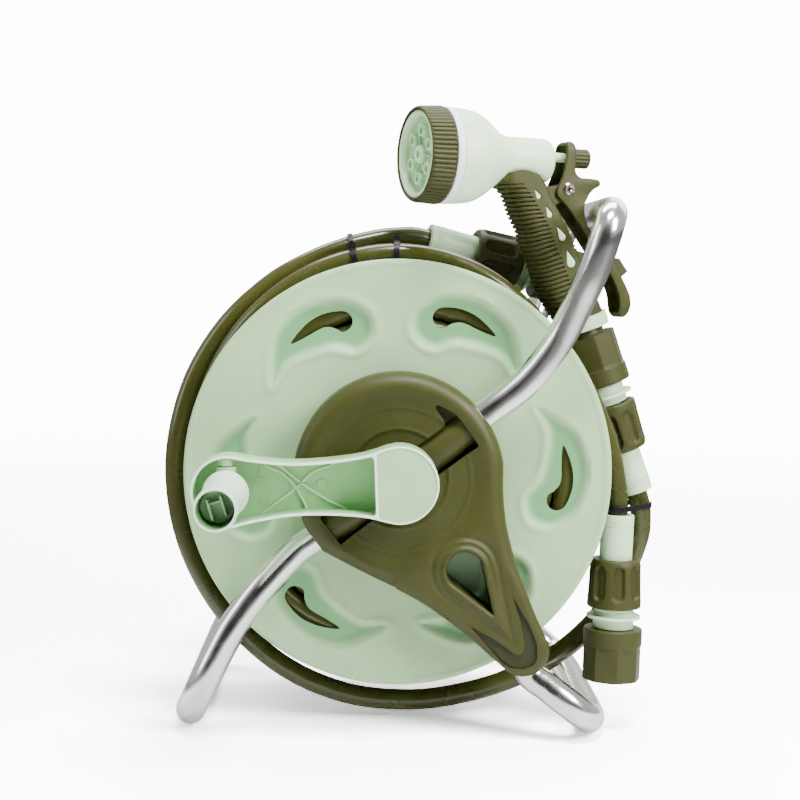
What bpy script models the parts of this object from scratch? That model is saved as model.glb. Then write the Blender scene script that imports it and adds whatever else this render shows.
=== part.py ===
"""Portable hose reel: a drum on a bent-tube stand, with its hose, spray gun and hose connectors.

Metres, +Z up. Seen from the front the viewer looks along +Y and +X is to the right.
The pieces are modelled about the drum's centre, whose axis lies along Y, and one empty
carries them all to their place above the floor.
"""
import math

import bmesh
import bpy
from mathutils import Matrix, Vector

# Place of the drum's centre: height above the floor, and the shift that puts the origin
# under the middle of the object's box
AXIS_HEIGHT = 0.1665
SHIFT_X = -0.0052
SHIFT_Y = 0.0404

# Clearance between neighbouring solids
GAP = 0.0003

# Drum
FLANGE_RADIUS = 0.1375
FLANGE_THICKNESS = 0.0045
FLANGE_RIM = 0.0030
DRUM_HALF_WIDTH = 0.0740
DRUM_TURN = math.radians(-3.6)
POCKET_DEPTH = 0.0030
CORE_RADIUS = 0.0720
CORE_WALL = 0.0025
HUB_RADIUS = 0.0190
SHAFT_RADIUS = 0.0135
WATER_PIPE_RADIUS = 0.0080
WATER_PIPE_BORE = 0.0055

# Hose and its winding on the drum
HOSE_DIAMETER = 0.0140
WINDING_RADIUS = 0.1090
WINDING_TURNS = 8.5
WINDING_PITCH = 0.0146
POINTS_PER_TURN = 24

# Tube frame
TUBE_DIAMETER = 0.0200
TUBE_WALL = 0.0012
TUBE_PLANE = 0.0895
TUBE_TURN = math.radians(12)
SLEEVE_ANGLE = math.radians(37.8)
SLEEVE_START = 0.0205
UPPER_SLEEVE_END = 0.0628
LOWER_SLEEVE_END = 0.0646
FOOT_HALF_SPAN = 0.1300
HANDLE_REACH = 0.1275
HANDLE_RISE = 0.1700

# Side covers
COVER_RADIUS = 0.0664
COVER_BACK = 0.0760
COVER_FACE = 0.1040
COVER_SKIN = 0.0040
COVER_WALL = 0.0028
SLEEVE_WALL = 0.0022
DISH_RADIUS = 0.0446
INNER_DISH_RADIUS = 0.0310
DISH_STEP = 0.0010
BEARING_WALL = 0.0030

# Crank
CRANK_LENGTH = 0.1050
CRANK_BACK = 0.1095
CRANK_FRONT = 0.1340
CRANK_HUB_RADIUS = 0.0240
CRANK_WALL = 0.0016
CRANK_FLOOR = 0.0020
HINGE_DEPTH = 0.1282
HINGE_PIN_RADIUS = 0.0020
GRIP_RADIUS = 0.0134
GRIP_BORE = 0.0092
GRIP_MOUTH = 0.0112
GRIP_START = 0.0132
GRIP_LENGTH = 0.0720
SPINDLE_RADIUS = 0.0088

# Water inlet on the rear cover
ELBOW_RADIUS = 0.0120
INLET_DROP = 0.0300

# Spray gun, in its own upright plane
GUN_PLACE = Vector((0.1216, -0.0400, 0.0))
GUN_YAW = math.radians(21.4)
GRIP_FOOT = 0.0940
NOZZLE_HEIGHT = 0.2028
RING_RADIUS = 0.0300
RING_FRONT = -0.1260
RING_LENGTH = 0.0165
BAND_LENGTH = 0.0055
BOWL_RADIUS = 0.0302
NECK_RADIUS = 0.0143
NECK_END = -0.0286
FACE_RADIUS = 0.0235
STEM_RADIUS = 0.0031
STEM_HEIGHT = NOZZLE_HEIGHT + 0.0028
NUT_RADIUS = 0.0064
NUT_LENGTH = 0.0115
GRIP_THICKNESS = 0.0290
PIVOT_PLACE = (-0.0209, 0.840)
LEVER_WIDTH = 0.0180
LEVER_WALL = 0.0018
LUG_WIDTH = 0.0130
LEVER_PIN_RADIUS = 0.0022
SWIVEL_RADIUS = 0.0170
SWIVEL_LENGTH = 0.0090

# Hose connectors: nut, coupler sleeve, nipple and threaded adapter in a row
NUT_R = 0.0115
NUT_L = 0.0280
SLEEVE_R = 0.0176
SLEEVE_L = 0.0320
NIPPLE_R = 0.0132
NIPPLE_RING_R = 0.0176
NIPPLE_L = 0.0140
ADAPTER_R = 0.0192
ADAPTER_L = 0.0340
HOSE_TURN = math.radians(11)
HOSE_STEP = 0.0320
TIE_THICKNESS = 0.0012
TIE_WIDTH = 0.0034

# Colours, as linear red, green and blue
MINT = (0.50, 0.66, 0.52)
PALE_MINT = (0.66, 0.80, 0.68)
OLIVE = (0.13, 0.135, 0.055)
HOSE_GREEN = (0.065, 0.075, 0.030)
STEEL = (0.62, 0.61, 0.60)
BLACK = (0.012, 0.012, 0.012)


def new_collection(name):
    collection = bpy.data.collections.new(name)
    bpy.context.scene.collection.children.link(collection)
    return collection


for old in list(bpy.data.objects):
    bpy.data.objects.remove(old, do_unlink=True)
PARTS = new_collection("portable_hose_reel")
CUTTERS = new_collection("cutters_and_guides")


def make_material(name, colour, roughness, metallic=0.0):
    material = bpy.data.materials.new(name)
    material.use_nodes = True
    shader = material.node_tree.nodes["Principled BSDF"]
    shader.inputs["Base Color"].default_value = (*colour, 1.0)
    shader.inputs["Roughness"].default_value = roughness
    shader.inputs["Metallic"].default_value = metallic
    material.diffuse_color = (*colour, 1.0)
    return material


FINISHES = {
    "mint": make_material("mint_plastic", MINT, 0.45),
    "pale": make_material("pale_mint_plastic", PALE_MINT, 0.40),
    "olive": make_material("olive_plastic", OLIVE, 0.50),
    "hose": make_material("hose_green", HOSE_GREEN, 0.42),
    "steel": make_material("brushed_stainless", STEEL, 0.30, 1.0),
    "black": make_material("black_nylon", BLACK, 0.45),
}


def make_empty(name, parent=None, location=(0.0, 0.0, 0.0), rotation=(0.0, 0.0, 0.0)):
    empty = bpy.data.objects.new(name, None)
    PARTS.objects.link(empty)
    empty.parent = parent
    empty.location = location
    empty.rotation_euler = rotation
    return empty


def add_object(name, data, finish, parent, matrix=None, guide=False):
    """Link a new object, as a part or as a hidden cutter, and give it its finish."""
    thing = bpy.data.objects.new(name, data)
    (CUTTERS if guide else PARTS).objects.link(thing)
    thing.parent = parent
    if matrix is not None:
        thing.matrix_local = matrix
    if guide:
        thing.hide_render = True
        thing.display_type = "WIRE"
    elif finish:
        data.materials.append(FINISHES[finish])
    return thing


def axis_matrix(point, direction):
    """Matrix that carries local Z onto a direction, from a point."""
    return Matrix.Translation(point) @ Vector(direction).to_track_quat("Z", "Y").to_matrix().to_4x4()


def arc(centre, radius, start, end, steps):
    """Points on an arc in a plane, angles in degrees."""
    angles = [math.radians(start + (end - start) * k / steps) for k in range(steps + 1)]
    return [(centre[0] + radius * math.cos(a), centre[1] + radius * math.sin(a)) for a in angles]


def smooth_through(points, pieces, first_heading=None, last_heading=None):
    """Catmull-Rom curve through points, each span cut into the given number of pieces; a heading
    sets the curve's direction at its start or its end."""
    knots = [Vector(p) for p in points]
    result = []
    for i in range(len(knots) - 1):
        b, c = knots[i], knots[i + 1]
        reach = (c - b).length * 2
        a = knots[i - 1] if i > 0 else b * 2 - c
        d = knots[i + 2] if i + 2 < len(knots) else c * 2 - b
        if i == 0 and first_heading is not None:
            a = c - first_heading * reach
        if i == len(knots) - 2 and last_heading is not None:
            d = b + last_heading * reach
        for k in range(pieces):
            t = k / pieces
            result.append(0.5 * (2 * b + (c - a) * t + (2 * a - 5 * b + 4 * c - d) * t * t
                                 + (3 * b - a - 3 * c + d) * t * t * t))
    result.append(knots[-1])
    return result


def bend_points(points, turn_limit, longest):
    """The points of a fine polyline at which it has turned, or run on, by a limit since the last."""
    kept = [points[0]]
    heading = points[1] - points[0]
    for here, after in zip(points[1:], points[2:]):
        if heading.angle(after - here) > turn_limit or (here - kept[-1]).length > longest:
            kept.append(here)
            heading = after - here
    kept.append(points[-1])
    return kept


def offset_outline(outline, distance):
    """A closed outline moved inwards by a distance; the outline runs anticlockwise."""
    count = len(outline)
    result = []
    for i in range(count):
        before = Vector(outline[i]) - Vector(outline[i - 1])
        after = Vector(outline[(i + 1) % count]) - Vector(outline[i])
        normal = (Vector((-before.y, before.x)).normalized() + Vector((-after.y, after.x)).normalized())
        normal.normalize()
        result.append(tuple(Vector(outline[i]) + normal * distance))
    return result


def turned(name, profile, finish, parent, matrix, steps=24, closed=False, guide=False):
    """Solid of revolution about local Z; the profile holds (radius, height) pairs, top to bottom
    down its outer side, and a closed profile comes back up inside."""
    mesh = bpy.data.meshes.new(name)
    edges = [(i, i + 1) for i in range(len(profile) - 1)]
    if closed:
        edges.append((len(profile) - 1, 0))
    mesh.from_pydata([(r, 0.0, h) for r, h in profile], edges, [])
    thing = add_object(name, mesh, finish, parent, matrix, guide)
    screw = thing.modifiers.new("Turn", "SCREW")
    screw.steps = steps
    screw.render_steps = steps
    screw.use_merge_vertices = True
    screw.merge_threshold = 0.00001
    screw.use_smooth_shade = True
    return thing


def cylinder(name, radius, bottom, top, finish, parent, matrix, steps=24, guide=False):
    profile = [(0.0, top), (radius, top), (radius, bottom), (0.0, bottom)]
    return turned(name, profile, finish, parent, matrix, steps, guide=guide)


def curve_to_mesh_object(curve_object, name, finish, parent, matrix, guide):
    """Turn a curve object into a welded mesh object and remove the curve."""
    graph = bpy.context.evaluated_depsgraph_get()
    mesh = bpy.data.meshes.new_from_object(curve_object.evaluated_get(graph))
    mesh.name = name
    mesh.materials.clear()
    curve = curve_object.data
    bpy.data.objects.remove(curve_object, do_unlink=True)
    bpy.data.curves.remove(curve)
    work = bmesh.new()
    work.from_mesh(mesh)
    bmesh.ops.remove_doubles(work, verts=work.verts, dist=0.000002)
    bmesh.ops.recalc_face_normals(work, faces=work.faces)
    work.to_mesh(mesh)
    work.free()
    return add_object(name, mesh, finish, parent, matrix, guide)


def plate(name, outlines, low, high, finish, parent, matrix=None, guide=False, rounding=0.0):
    """Flat outline in local X and Z, thick from low to high along local Y; inner outlines are holes."""
    curve = bpy.data.curves.new(name, "CURVE")
    curve.dimensions = "2D"
    curve.fill_mode = "BOTH"
    curve.extrude = (high - low) / 2 - rounding
    curve.bevel_depth = rounding
    curve.bevel_resolution = 0
    curve.offset = -rounding
    for outline in outlines:
        spline = curve.splines.new("POLY")
        spline.points.add(len(outline) - 1)
        for point, (x, z) in zip(spline.points, outline):
            point.co = (x, z, 0.0, 1.0)
        spline.use_cyclic_u = True
    holder = bpy.data.objects.new(name, curve)
    CUTTERS.objects.link(holder)
    upright = Matrix.Translation((0.0, (low + high) / 2, 0.0)) @ Matrix.Rotation(math.pi / 2, 4, "X")
    placed = (matrix if matrix is not None else Matrix.Identity(4)) @ upright
    return curve_to_mesh_object(holder, name, finish, parent, placed, guide)


def tube(name, points, radius, resolution, finish, parent, guide=False):
    """Round bar along points, with filled ends, as a closed mesh."""
    curve = bpy.data.curves.new(name, "CURVE")
    curve.dimensions = "3D"
    curve.bevel_depth = radius
    curve.bevel_resolution = resolution
    curve.use_fill_caps = True
    spline = curve.splines.new("POLY")
    spline.points.add(len(points) - 1)
    for point, place in zip(spline.points, points):
        point.co = (*place, 1.0)
    holder = bpy.data.objects.new(name, curve)
    CUTTERS.objects.link(holder)
    return curve_to_mesh_object(holder, name, finish, parent, None, guide)


def box(name, size, matrix, finish, parent, guide=False):
    mesh = bpy.data.meshes.new(name)
    work = bmesh.new()
    bmesh.ops.create_cube(work, size=1.0, matrix=Matrix.Diagonal((*size, 1.0)))
    work.to_mesh(mesh)
    work.free()
    return add_object(name, mesh, finish, parent, matrix, guide)


def combine(target, other, operation):
    """Boolean modifier: DIFFERENCE cuts the other shape out, UNION adds it."""
    modifier = target.modifiers.new(operation.title(), "BOOLEAN")
    modifier.operation = operation
    modifier.object = other
    modifier.solver = "EXACT"


def polar(radius, degrees, depth=None):
    """A point at a radius and an angle in the X-Z plane, with its depth along Y if given."""
    angle = math.radians(degrees)
    x, z = radius * math.cos(angle), radius * math.sin(angle)
    return (x, z) if depth is None else Vector((x, depth, z))


def at_height(points):
    """Outline of the gun with its heights turned from shares into lengths."""
    return [(x, GRIP_FOOT + share * (NOZZLE_HEIGHT - GRIP_FOOT)) for x, share in points]


PIVOT = Vector((PIVOT_PLACE[0], 0.0, at_height([PIVOT_PLACE])[0][1]))
REEL = make_empty("reel_centre", None, (SHIFT_X, SHIFT_Y, AXIS_HEIGHT))
DRUM = make_empty("drum_axis", REEL, rotation=(0.0, DRUM_TURN, 0.0))
GUN = make_empty("gun_plane", REEL, GUN_PLACE, (0.0, 0.0, GUN_YAW))
LEVER = make_empty("lever_pivot", GUN, PIVOT)

# Comma outlines on the right of a pair's line of symmetry: the soft recess and the hole in it
RECESS_POINTS = [
    (0.0119, 0.0993), (0.0125, 0.0873), (0.0241, 0.0784), (0.0399, 0.0813), (0.0593, 0.0761),
    (0.0693, 0.0704), (0.0792, 0.0574), (0.0796, 0.0786), (0.0742, 0.0943), (0.0573, 0.1092),
    (0.0336, 0.1137), (0.0190, 0.1080)]
HOLE_POINTS = [
    (0.0256, 0.0991), (0.0272, 0.0945), (0.0322, 0.0919), (0.0370, 0.0945), (0.0445, 0.0952),
    (0.0566, 0.0891), (0.0658, 0.0857), (0.0559, 0.0972), (0.0450, 0.1036), (0.0331, 0.1054),
    (0.0278, 0.1036)]
PAIR_ANGLES = (0, 120, 240)


def turn_outline(outline, degrees, mirrored):
    """An outline turned about the drum's axis, its order reversed where it is mirrored."""
    angle = math.radians(degrees)
    side = -1.0 if mirrored else 1.0
    turned_points = [(side * x * math.cos(angle) - z * math.sin(angle),
                      side * x * math.sin(angle) + z * math.cos(angle)) for x, z in outline]
    return turned_points[::-1] if mirrored else turned_points


def make_flange(name, side):
    """Drum side disc with a bead at its rim and three pairs of comma recesses, each with its hole."""
    outer = DRUM_HALF_WIDTH
    inner = outer - FLANGE_THICKNESS
    face = outer - 0.0006
    profile = [
        (SHAFT_RADIUS + GAP, face), (FLANGE_RADIUS - 2 * FLANGE_RIM, face),
        (FLANGE_RADIUS - FLANGE_RIM, outer), (FLANGE_RADIUS, outer - 0.0012),
        (FLANGE_RADIUS, inner), (SHAFT_RADIUS + GAP, inner)]
    facing = axis_matrix((0.0, 0.0, 0.0), (0.0, -side, 0.0))
    flange = turned(name, profile, "mint", DRUM, facing, steps=40, closed=True)
    face_low = outer - POCKET_DEPTH - 0.0006
    for angle in PAIR_ANGLES:
        for mirrored in (False, True):
            tag = f"{name}_{angle}_{int(mirrored)}"
            recess = turn_outline(RECESS_POINTS, angle, mirrored)
            hole = turn_outline(HOLE_POINTS, angle, mirrored)
            reach = outer + 0.0020
            low, high = (-reach, -face_low) if side > 0 else (face_low, reach)
            pocket = plate(f"{tag}_pocket", [recess], low, high, None, DRUM, guide=True)
            combine(flange, pocket, "DIFFERENCE")
            low, high = (-reach, -inner + 0.004) if side > 0 else (inner - 0.004, reach)
            opening = plate(f"{tag}_opening", [hole], low, high, None, DRUM, guide=True)
            combine(flange, opening, "DIFFERENCE")
    return flange


def make_drum():
    """Both side discs, the core that joins them, the shafts and the water pipe inside."""
    make_flange("drum_flange_front", 1)
    make_flange("drum_flange_rear", -1)
    half = DRUM_HALF_WIDTH - FLANGE_THICKNESS - GAP
    web = 0.0030
    web_place = -0.0300
    bore = SHAFT_RADIUS + GAP
    inside = CORE_RADIUS - CORE_WALL
    along_y = axis_matrix((0.0, 0.0, 0.0), (0.0, 1.0, 0.0))
    profile = [
        (CORE_RADIUS, half), (CORE_RADIUS, -half), (inside, -half), (inside, web_place - web),
        (HUB_RADIUS, web_place - web), (HUB_RADIUS, -half), (bore, -half), (bore, web_place + 0.0180),
        (HUB_RADIUS, web_place + 0.0180), (HUB_RADIUS, web_place), (inside, web_place), (inside, half)]
    turned("drum_core", profile, "olive", DRUM, along_y, steps=24, closed=True)
    shaft_back = web_place + 0.0170
    shaft = [(0.0, CRANK_BACK - GAP), (SHAFT_RADIUS, CRANK_BACK - GAP), (SHAFT_RADIUS, -shaft_back),
             (0.0, -shaft_back)]
    turned("crank_shaft", shaft, "mint", DRUM, axis_matrix((0.0, 0.0, 0.0), (0.0, -1.0, 0.0)), steps=24)
    rear_end = COVER_FACE + 0.0050
    pipe_start = -0.0080
    boss_end = COVER_FACE - 0.0004
    boss_start = DRUM_HALF_WIDTH - 0.0180
    pipe = turned("drum_water_pipe", [
        (0.0, rear_end), (WATER_PIPE_RADIUS, rear_end), (WATER_PIPE_RADIUS, boss_end),
        (SHAFT_RADIUS, boss_end), (SHAFT_RADIUS, boss_start), (WATER_PIPE_RADIUS, boss_start),
        (WATER_PIPE_RADIUS, pipe_start), (0.0, pipe_start)], "olive", DRUM, along_y, steps=20)
    upward = axis_matrix((0.0, 0.0, 0.0), (0.0, 0.0, 1.0))
    branch = cylinder("water_branch", WATER_PIPE_RADIUS - 0.0002, 0.0, inside - 0.0026, None, DRUM, upward,
                      16, True)
    combine(pipe, branch, "UNION")
    bore = cylinder("water_bore", WATER_PIPE_BORE, pipe_start + 0.0025, rear_end + 0.005, None, DRUM,
                    along_y, 12, True)
    combine(pipe, bore, "DIFFERENCE")
    branch_bore = cylinder("water_branch_bore", WATER_PIPE_BORE - 0.0002, 0.0, inside + 0.005, None, DRUM,
                           upward, 12, True)
    combine(pipe, branch_bore, "DIFFERENCE")


def make_winding():
    """The hose's outer layer as one unbroken helix over a plain core of the layers below it."""
    half = DRUM_HALF_WIDTH - FLANGE_THICKNESS - 0.0012
    chord = math.cos(math.pi / POINTS_PER_TURN)
    outer = WINDING_RADIUS * chord - HOSE_DIAMETER / 2 - GAP
    inner = CORE_RADIUS + GAP
    along_y = axis_matrix((0.0, 0.0, 0.0), (0.0, 1.0, 0.0))
    profile = [(outer, half), (outer, -half), (inner, -half), (inner, half)]
    turned("hose_inner_layers", profile, "hose", DRUM, along_y, steps=24, closed=True)
    count = round(WINDING_TURNS * POINTS_PER_TURN)
    points = []
    for k in range(count + 1):
        turn = k / POINTS_PER_TURN
        depth = -WINDING_TURNS * WINDING_PITCH / 2 + turn * WINDING_PITCH
        points.append(polar(WINDING_RADIUS, 250 + 360 * turn, depth))
    tube("hose_winding", points, HOSE_DIAMETER / 2, 1, "hose", DRUM)
    least = min((points[i] - points[j]).length for i in range(len(points))
                for j in range(i + POINTS_PER_TURN // 2, len(points)))
    print(f"hose_winding: least gap to itself {(least - HOSE_DIAMETER) * 1000:.2f} mm")


def cover_outline():
    """Outline of a side cover: a disc that sweeps into an arm down to the right."""
    disc = arc((0.0, 0.0), COVER_RADIUS, 74, 226, 14)
    lower = [(-0.0185, -0.0613), (0.0144, -0.0770), (0.0436, -0.0969), (0.0640, -0.1140)]
    tip = arc(ARM_TIP, ARM_TIP_RADIUS, 228, 378, 7)
    right = [(0.0881, -0.0835), (0.0800, -0.0640), (0.0732, -0.0452), (0.0680, -0.0250),
             (0.0651, -0.0046), (0.0632, 0.0130), (0.0586, 0.0295), (0.0428, 0.0494)]
    return disc + lower + tip + right


def teardrop(centre, radius, tip, steps=7):
    """Round head with two straight sides that meet at a tip."""
    reach = Vector(tip) - Vector(centre)
    heading = math.degrees(math.atan2(reach.y, reach.x))
    touch = math.degrees(math.acos(min(1.0, radius / reach.length)))
    return arc(centre, radius, heading + touch, heading + 360 - touch, steps) + [tuple(tip)]


ARM_TIP, ARM_TIP_RADIUS = (0.0815, -0.1073), 0.0165
FOOT_SOCKET = (Vector((0.0707, -TUBE_PLANE, -0.0978)), Vector((0.0870, -TUBE_PLANE, -0.1235)))
TEAR_CENTRE, TEAR_RADIUS, TEAR_TIP = (0.0427, -0.0560), 0.0115, (0.0612, -0.0835)
CHEVRON = [(0.0475, -0.0914), (0.0650, -0.1110), (0.0783, -0.1174), (0.0901, -0.1069), (0.0830, -0.0900),
           (0.0733, -0.0721), (0.0805, -0.1020), (0.0765, -0.1080)]


def make_cover(name, side):
    """Side cover: a shell open towards the drum, with a bearing, three tube sockets, a diagonal
    window over the upper sockets and a teardrop hole through the arm."""
    def depths(near, far):
        return (-far, -near) if side > 0 else (near, far)

    outline = cover_outline()
    cover = plate(name, [outline], *depths(COVER_BACK, COVER_FACE), "olive", REEL)
    pocket = plate(name + "_pocket", [offset_outline(outline, COVER_WALL)],
                   *depths(COVER_BACK - 0.005, COVER_FACE - COVER_SKIN), None, REEL, guide=True)
    combine(cover, pocket, "DIFFERENCE")
    facing = axis_matrix((0.0, 0.0, 0.0), (0.0, -side, 0.0))
    for radius, step in ((DISH_RADIUS, 1), (INNER_DISH_RADIUS, 2)):
        dish = cylinder(f"{name}_dish_{step}", radius, COVER_FACE - step * DISH_STEP, COVER_FACE + 0.003,
                        None, REEL, facing, steps=24, guide=True)
        combine(cover, dish, "DIFFERENCE")
    window_width = TUBE_DIAMETER + 2 * SLEEVE_WALL + 0.0042
    window = Matrix.Rotation(-SLEEVE_ANGLE, 4, "Y") @ Matrix.Translation((-0.0015, -side * COVER_FACE, 0.0))
    slot = box(name + "_window", (0.1010, 2 * COVER_SKIN + 0.0024, window_width), window, None, REEL, True)
    combine(cover, slot, "DIFFERENCE")
    tear_wall = plate(name + "_tear_wall", [teardrop(TEAR_CENTRE, TEAR_RADIUS + 0.0030, (0.0640, -0.0885))],
                      *depths(COVER_BACK + 0.001, COVER_FACE + 0.0010), None, REEL, guide=True)
    combine(cover, tear_wall, "UNION")
    bearing = cylinder(name + "_bearing", SHAFT_RADIUS + GAP + BEARING_WALL, COVER_BACK + 0.0005,
                       COVER_FACE + 0.0002, None, REEL, facing, steps=20, guide=True)
    combine(cover, bearing, "UNION")
    foot_block = [(0.0579, -0.1008), (0.0584, -0.1073), (0.0650, -0.1130), (0.0705, -0.1172)]
    foot_block += arc(ARM_TIP, ARM_TIP_RADIUS - 0.0014, 232, 370, 7) + [(0.0903, -0.0915), (0.0790, -0.0874)]
    block = plate(name + "_foot_block", [foot_block],
                  *depths(COVER_BACK + 0.0008, COVER_FACE - 0.0015), None, REEL, guide=True)
    combine(cover, block, "UNION")
    along = Vector((math.cos(SLEEVE_ANGLE), 0.0, math.sin(SLEEVE_ANGLE)))
    plane = Vector((0.0, -side * TUBE_PLANE, 0.0))
    end_gap = 0.0021
    sockets = [(plane + along * SLEEVE_START, along, UPPER_SLEEVE_END),
               (plane - along * SLEEVE_START, -along, LOWER_SLEEVE_END)]
    for i, (start, heading, end) in enumerate(sockets):
        matrix = axis_matrix(start - heading * 0.0050, heading)
        collar = cylinder(f"{name}_socket_{i}", TUBE_DIAMETER / 2 + GAP + SLEEVE_WALL, 0.0,
                          end - SLEEVE_START + 0.0050, None, REEL, matrix, steps=16, guide=True)
        combine(cover, collar, "UNION")
    foot_start = Vector((FOOT_SOCKET[0].x, plane.y, FOOT_SOCKET[0].z))
    foot_heading = (FOOT_SOCKET[1] - FOOT_SOCKET[0]).normalized()
    for i, (start, heading) in enumerate([s[:2] for s in sockets] + [(foot_start, foot_heading)]):
        matrix = axis_matrix(start - heading * end_gap, heading)
        bore = cylinder(f"{name}_bore_{i}", TUBE_DIAMETER / 2 + GAP, 0.0, 0.0900, None, REEL, matrix,
                        steps=16, guide=True)
        combine(cover, bore, "DIFFERENCE")
    tear = plate(name + "_tear", [teardrop(TEAR_CENTRE, TEAR_RADIUS, TEAR_TIP)],
                 *depths(COVER_BACK - 0.005, COVER_FACE + 0.005), None, REEL, guide=True)
    combine(cover, tear, "DIFFERENCE")
    shaft_hole = cylinder(name + "_shaft_hole", SHAFT_RADIUS + GAP, COVER_BACK - 0.005, COVER_FACE + 0.005,
                          None, REEL, facing, steps=20, guide=True)
    combine(cover, shaft_hole, "DIFFERENCE")
    chevron = plate(name + "_chevron", [CHEVRON], *depths(COVER_FACE - 0.0010, COVER_FACE + 0.004),
                    None, REEL, guide=True)
    combine(cover, chevron, "DIFFERENCE")


def make_frame_tube(name, points):
    """Bent tube, open at both ends: straight in its sockets, its near half mirrored to the far side."""
    start, straight_end = Vector(points[0]), Vector(points[1])
    heading = (straight_end - start).normalized()
    near = [start] + bend_points(smooth_through(points[1:], 16, heading), TUBE_TURN, 0.1000)
    path = near + [Vector((p.x, -p.y, p.z)) for p in reversed(near[:-1])]
    bar = tube(name, path, TUBE_DIAMETER / 2, 3, "steel", REEL)
    bore_path = [path[0] * 2 - path[1]] + path[1:-1] + [path[-1] * 2 - path[-2]]
    bore = tube(name + "_bore", bore_path, TUBE_DIAMETER / 2 - TUBE_WALL, 2, None, REEL, guide=True)
    combine(bar, bore, "DIFFERENCE")


def bend_between(start, end, bends):
    """Points of a bend: each holds its share of the way across, its depth and its share of the rise."""
    return [(start.x + (end.x - start.x) * across, depth, start.z + (end.z - start.z) * rise)
            for across, depth, rise in bends]


def make_frame():
    """Handle and two feet, each one bent tube held in both side covers."""
    along = Vector((math.cos(SLEEVE_ANGLE), 0.0, math.sin(SLEEVE_ANGLE)))
    plane = Vector((0.0, -TUBE_PLANE, 0.0))
    floor = TUBE_DIAMETER / 2 - AXIS_HEIGHT
    straight_end = plane + along * 0.0680
    bar_end = Vector((HANDLE_REACH, -0.0880, HANDLE_RISE))
    handle = [plane + along * SLEEVE_START, straight_end]
    handle += bend_between(straight_end, bar_end, [
        (0.269, -0.0930, 0.125), (0.459, -0.0970, 0.253), (0.610, -0.1015, 0.395), (0.726, -0.1090, 0.551),
        (0.832, -0.1180, 0.715), (0.901, -0.1220, 0.855), (0.950, -0.1185, 0.945), (0.986, -0.1060, 0.991)])
    handle += [bar_end, (HANDLE_REACH, -0.0440, HANDLE_RISE), (HANDLE_REACH, 0.0, HANDLE_RISE)]

    straight_end = plane - along * 0.0800
    rest = Vector((-FOOT_HALF_SPAN, -0.0620, floor))
    left = [plane - along * SLEEVE_START, plane - along * 0.0700, straight_end]
    left += bend_between(straight_end, rest, [
        (0.187, -0.0915, 0.122), (0.353, -0.0945, 0.239), (0.554, -0.0980, 0.416), (0.666, -0.0995, 0.541),
        (0.831, -0.1000, 0.756), (0.928, -0.0940, 0.892), (0.985, -0.0800, 0.977)])
    left += [rest, (-FOOT_HALF_SPAN, -0.0310, floor), (-FOOT_HALF_SPAN, 0.0, floor)]

    rest = Vector((FOOT_HALF_SPAN, -0.0500, floor))
    right = list(FOOT_SOCKET)
    right += bend_between(FOOT_SOCKET[1], rest, [
        (0.256, -0.0925, 0.242), (0.428, -0.0950, 0.403), (0.605, -0.0960, 0.567), (0.772, -0.0935, 0.742),
        (0.907, -0.0840, 0.900), (0.984, -0.0680, 0.985)])
    right += [rest, (FOOT_HALF_SPAN, -0.0250, floor), (FOOT_HALF_SPAN, 0.0, floor)]
    make_frame_tube("handle_tube", handle)
    make_frame_tube("left_foot_tube", left)
    make_frame_tube("right_foot_tube", right)


def crank_outline():
    """Outline of the crank arm, hub at the origin and grip end towards -X."""
    hub = arc((0.0, 0.0), CRANK_HUB_RADIUS, -105, 105, 12)
    top = smooth_through([(-0.0062, 0.0232), (-0.0220, 0.0190), (-0.0420, 0.0168), (-0.0640, 0.0163),
                          (-0.0840, 0.0185), (-0.0985, 0.0212)], 2)[1:-1]
    end = arc((-CRANK_LENGTH, 0.0), 0.0222, 80, 280, 10)
    bottom = [(p[0], -p[1]) for p in reversed(top)]
    return hub + [tuple(p) for p in top] + end + [tuple(p) for p in bottom]


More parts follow.
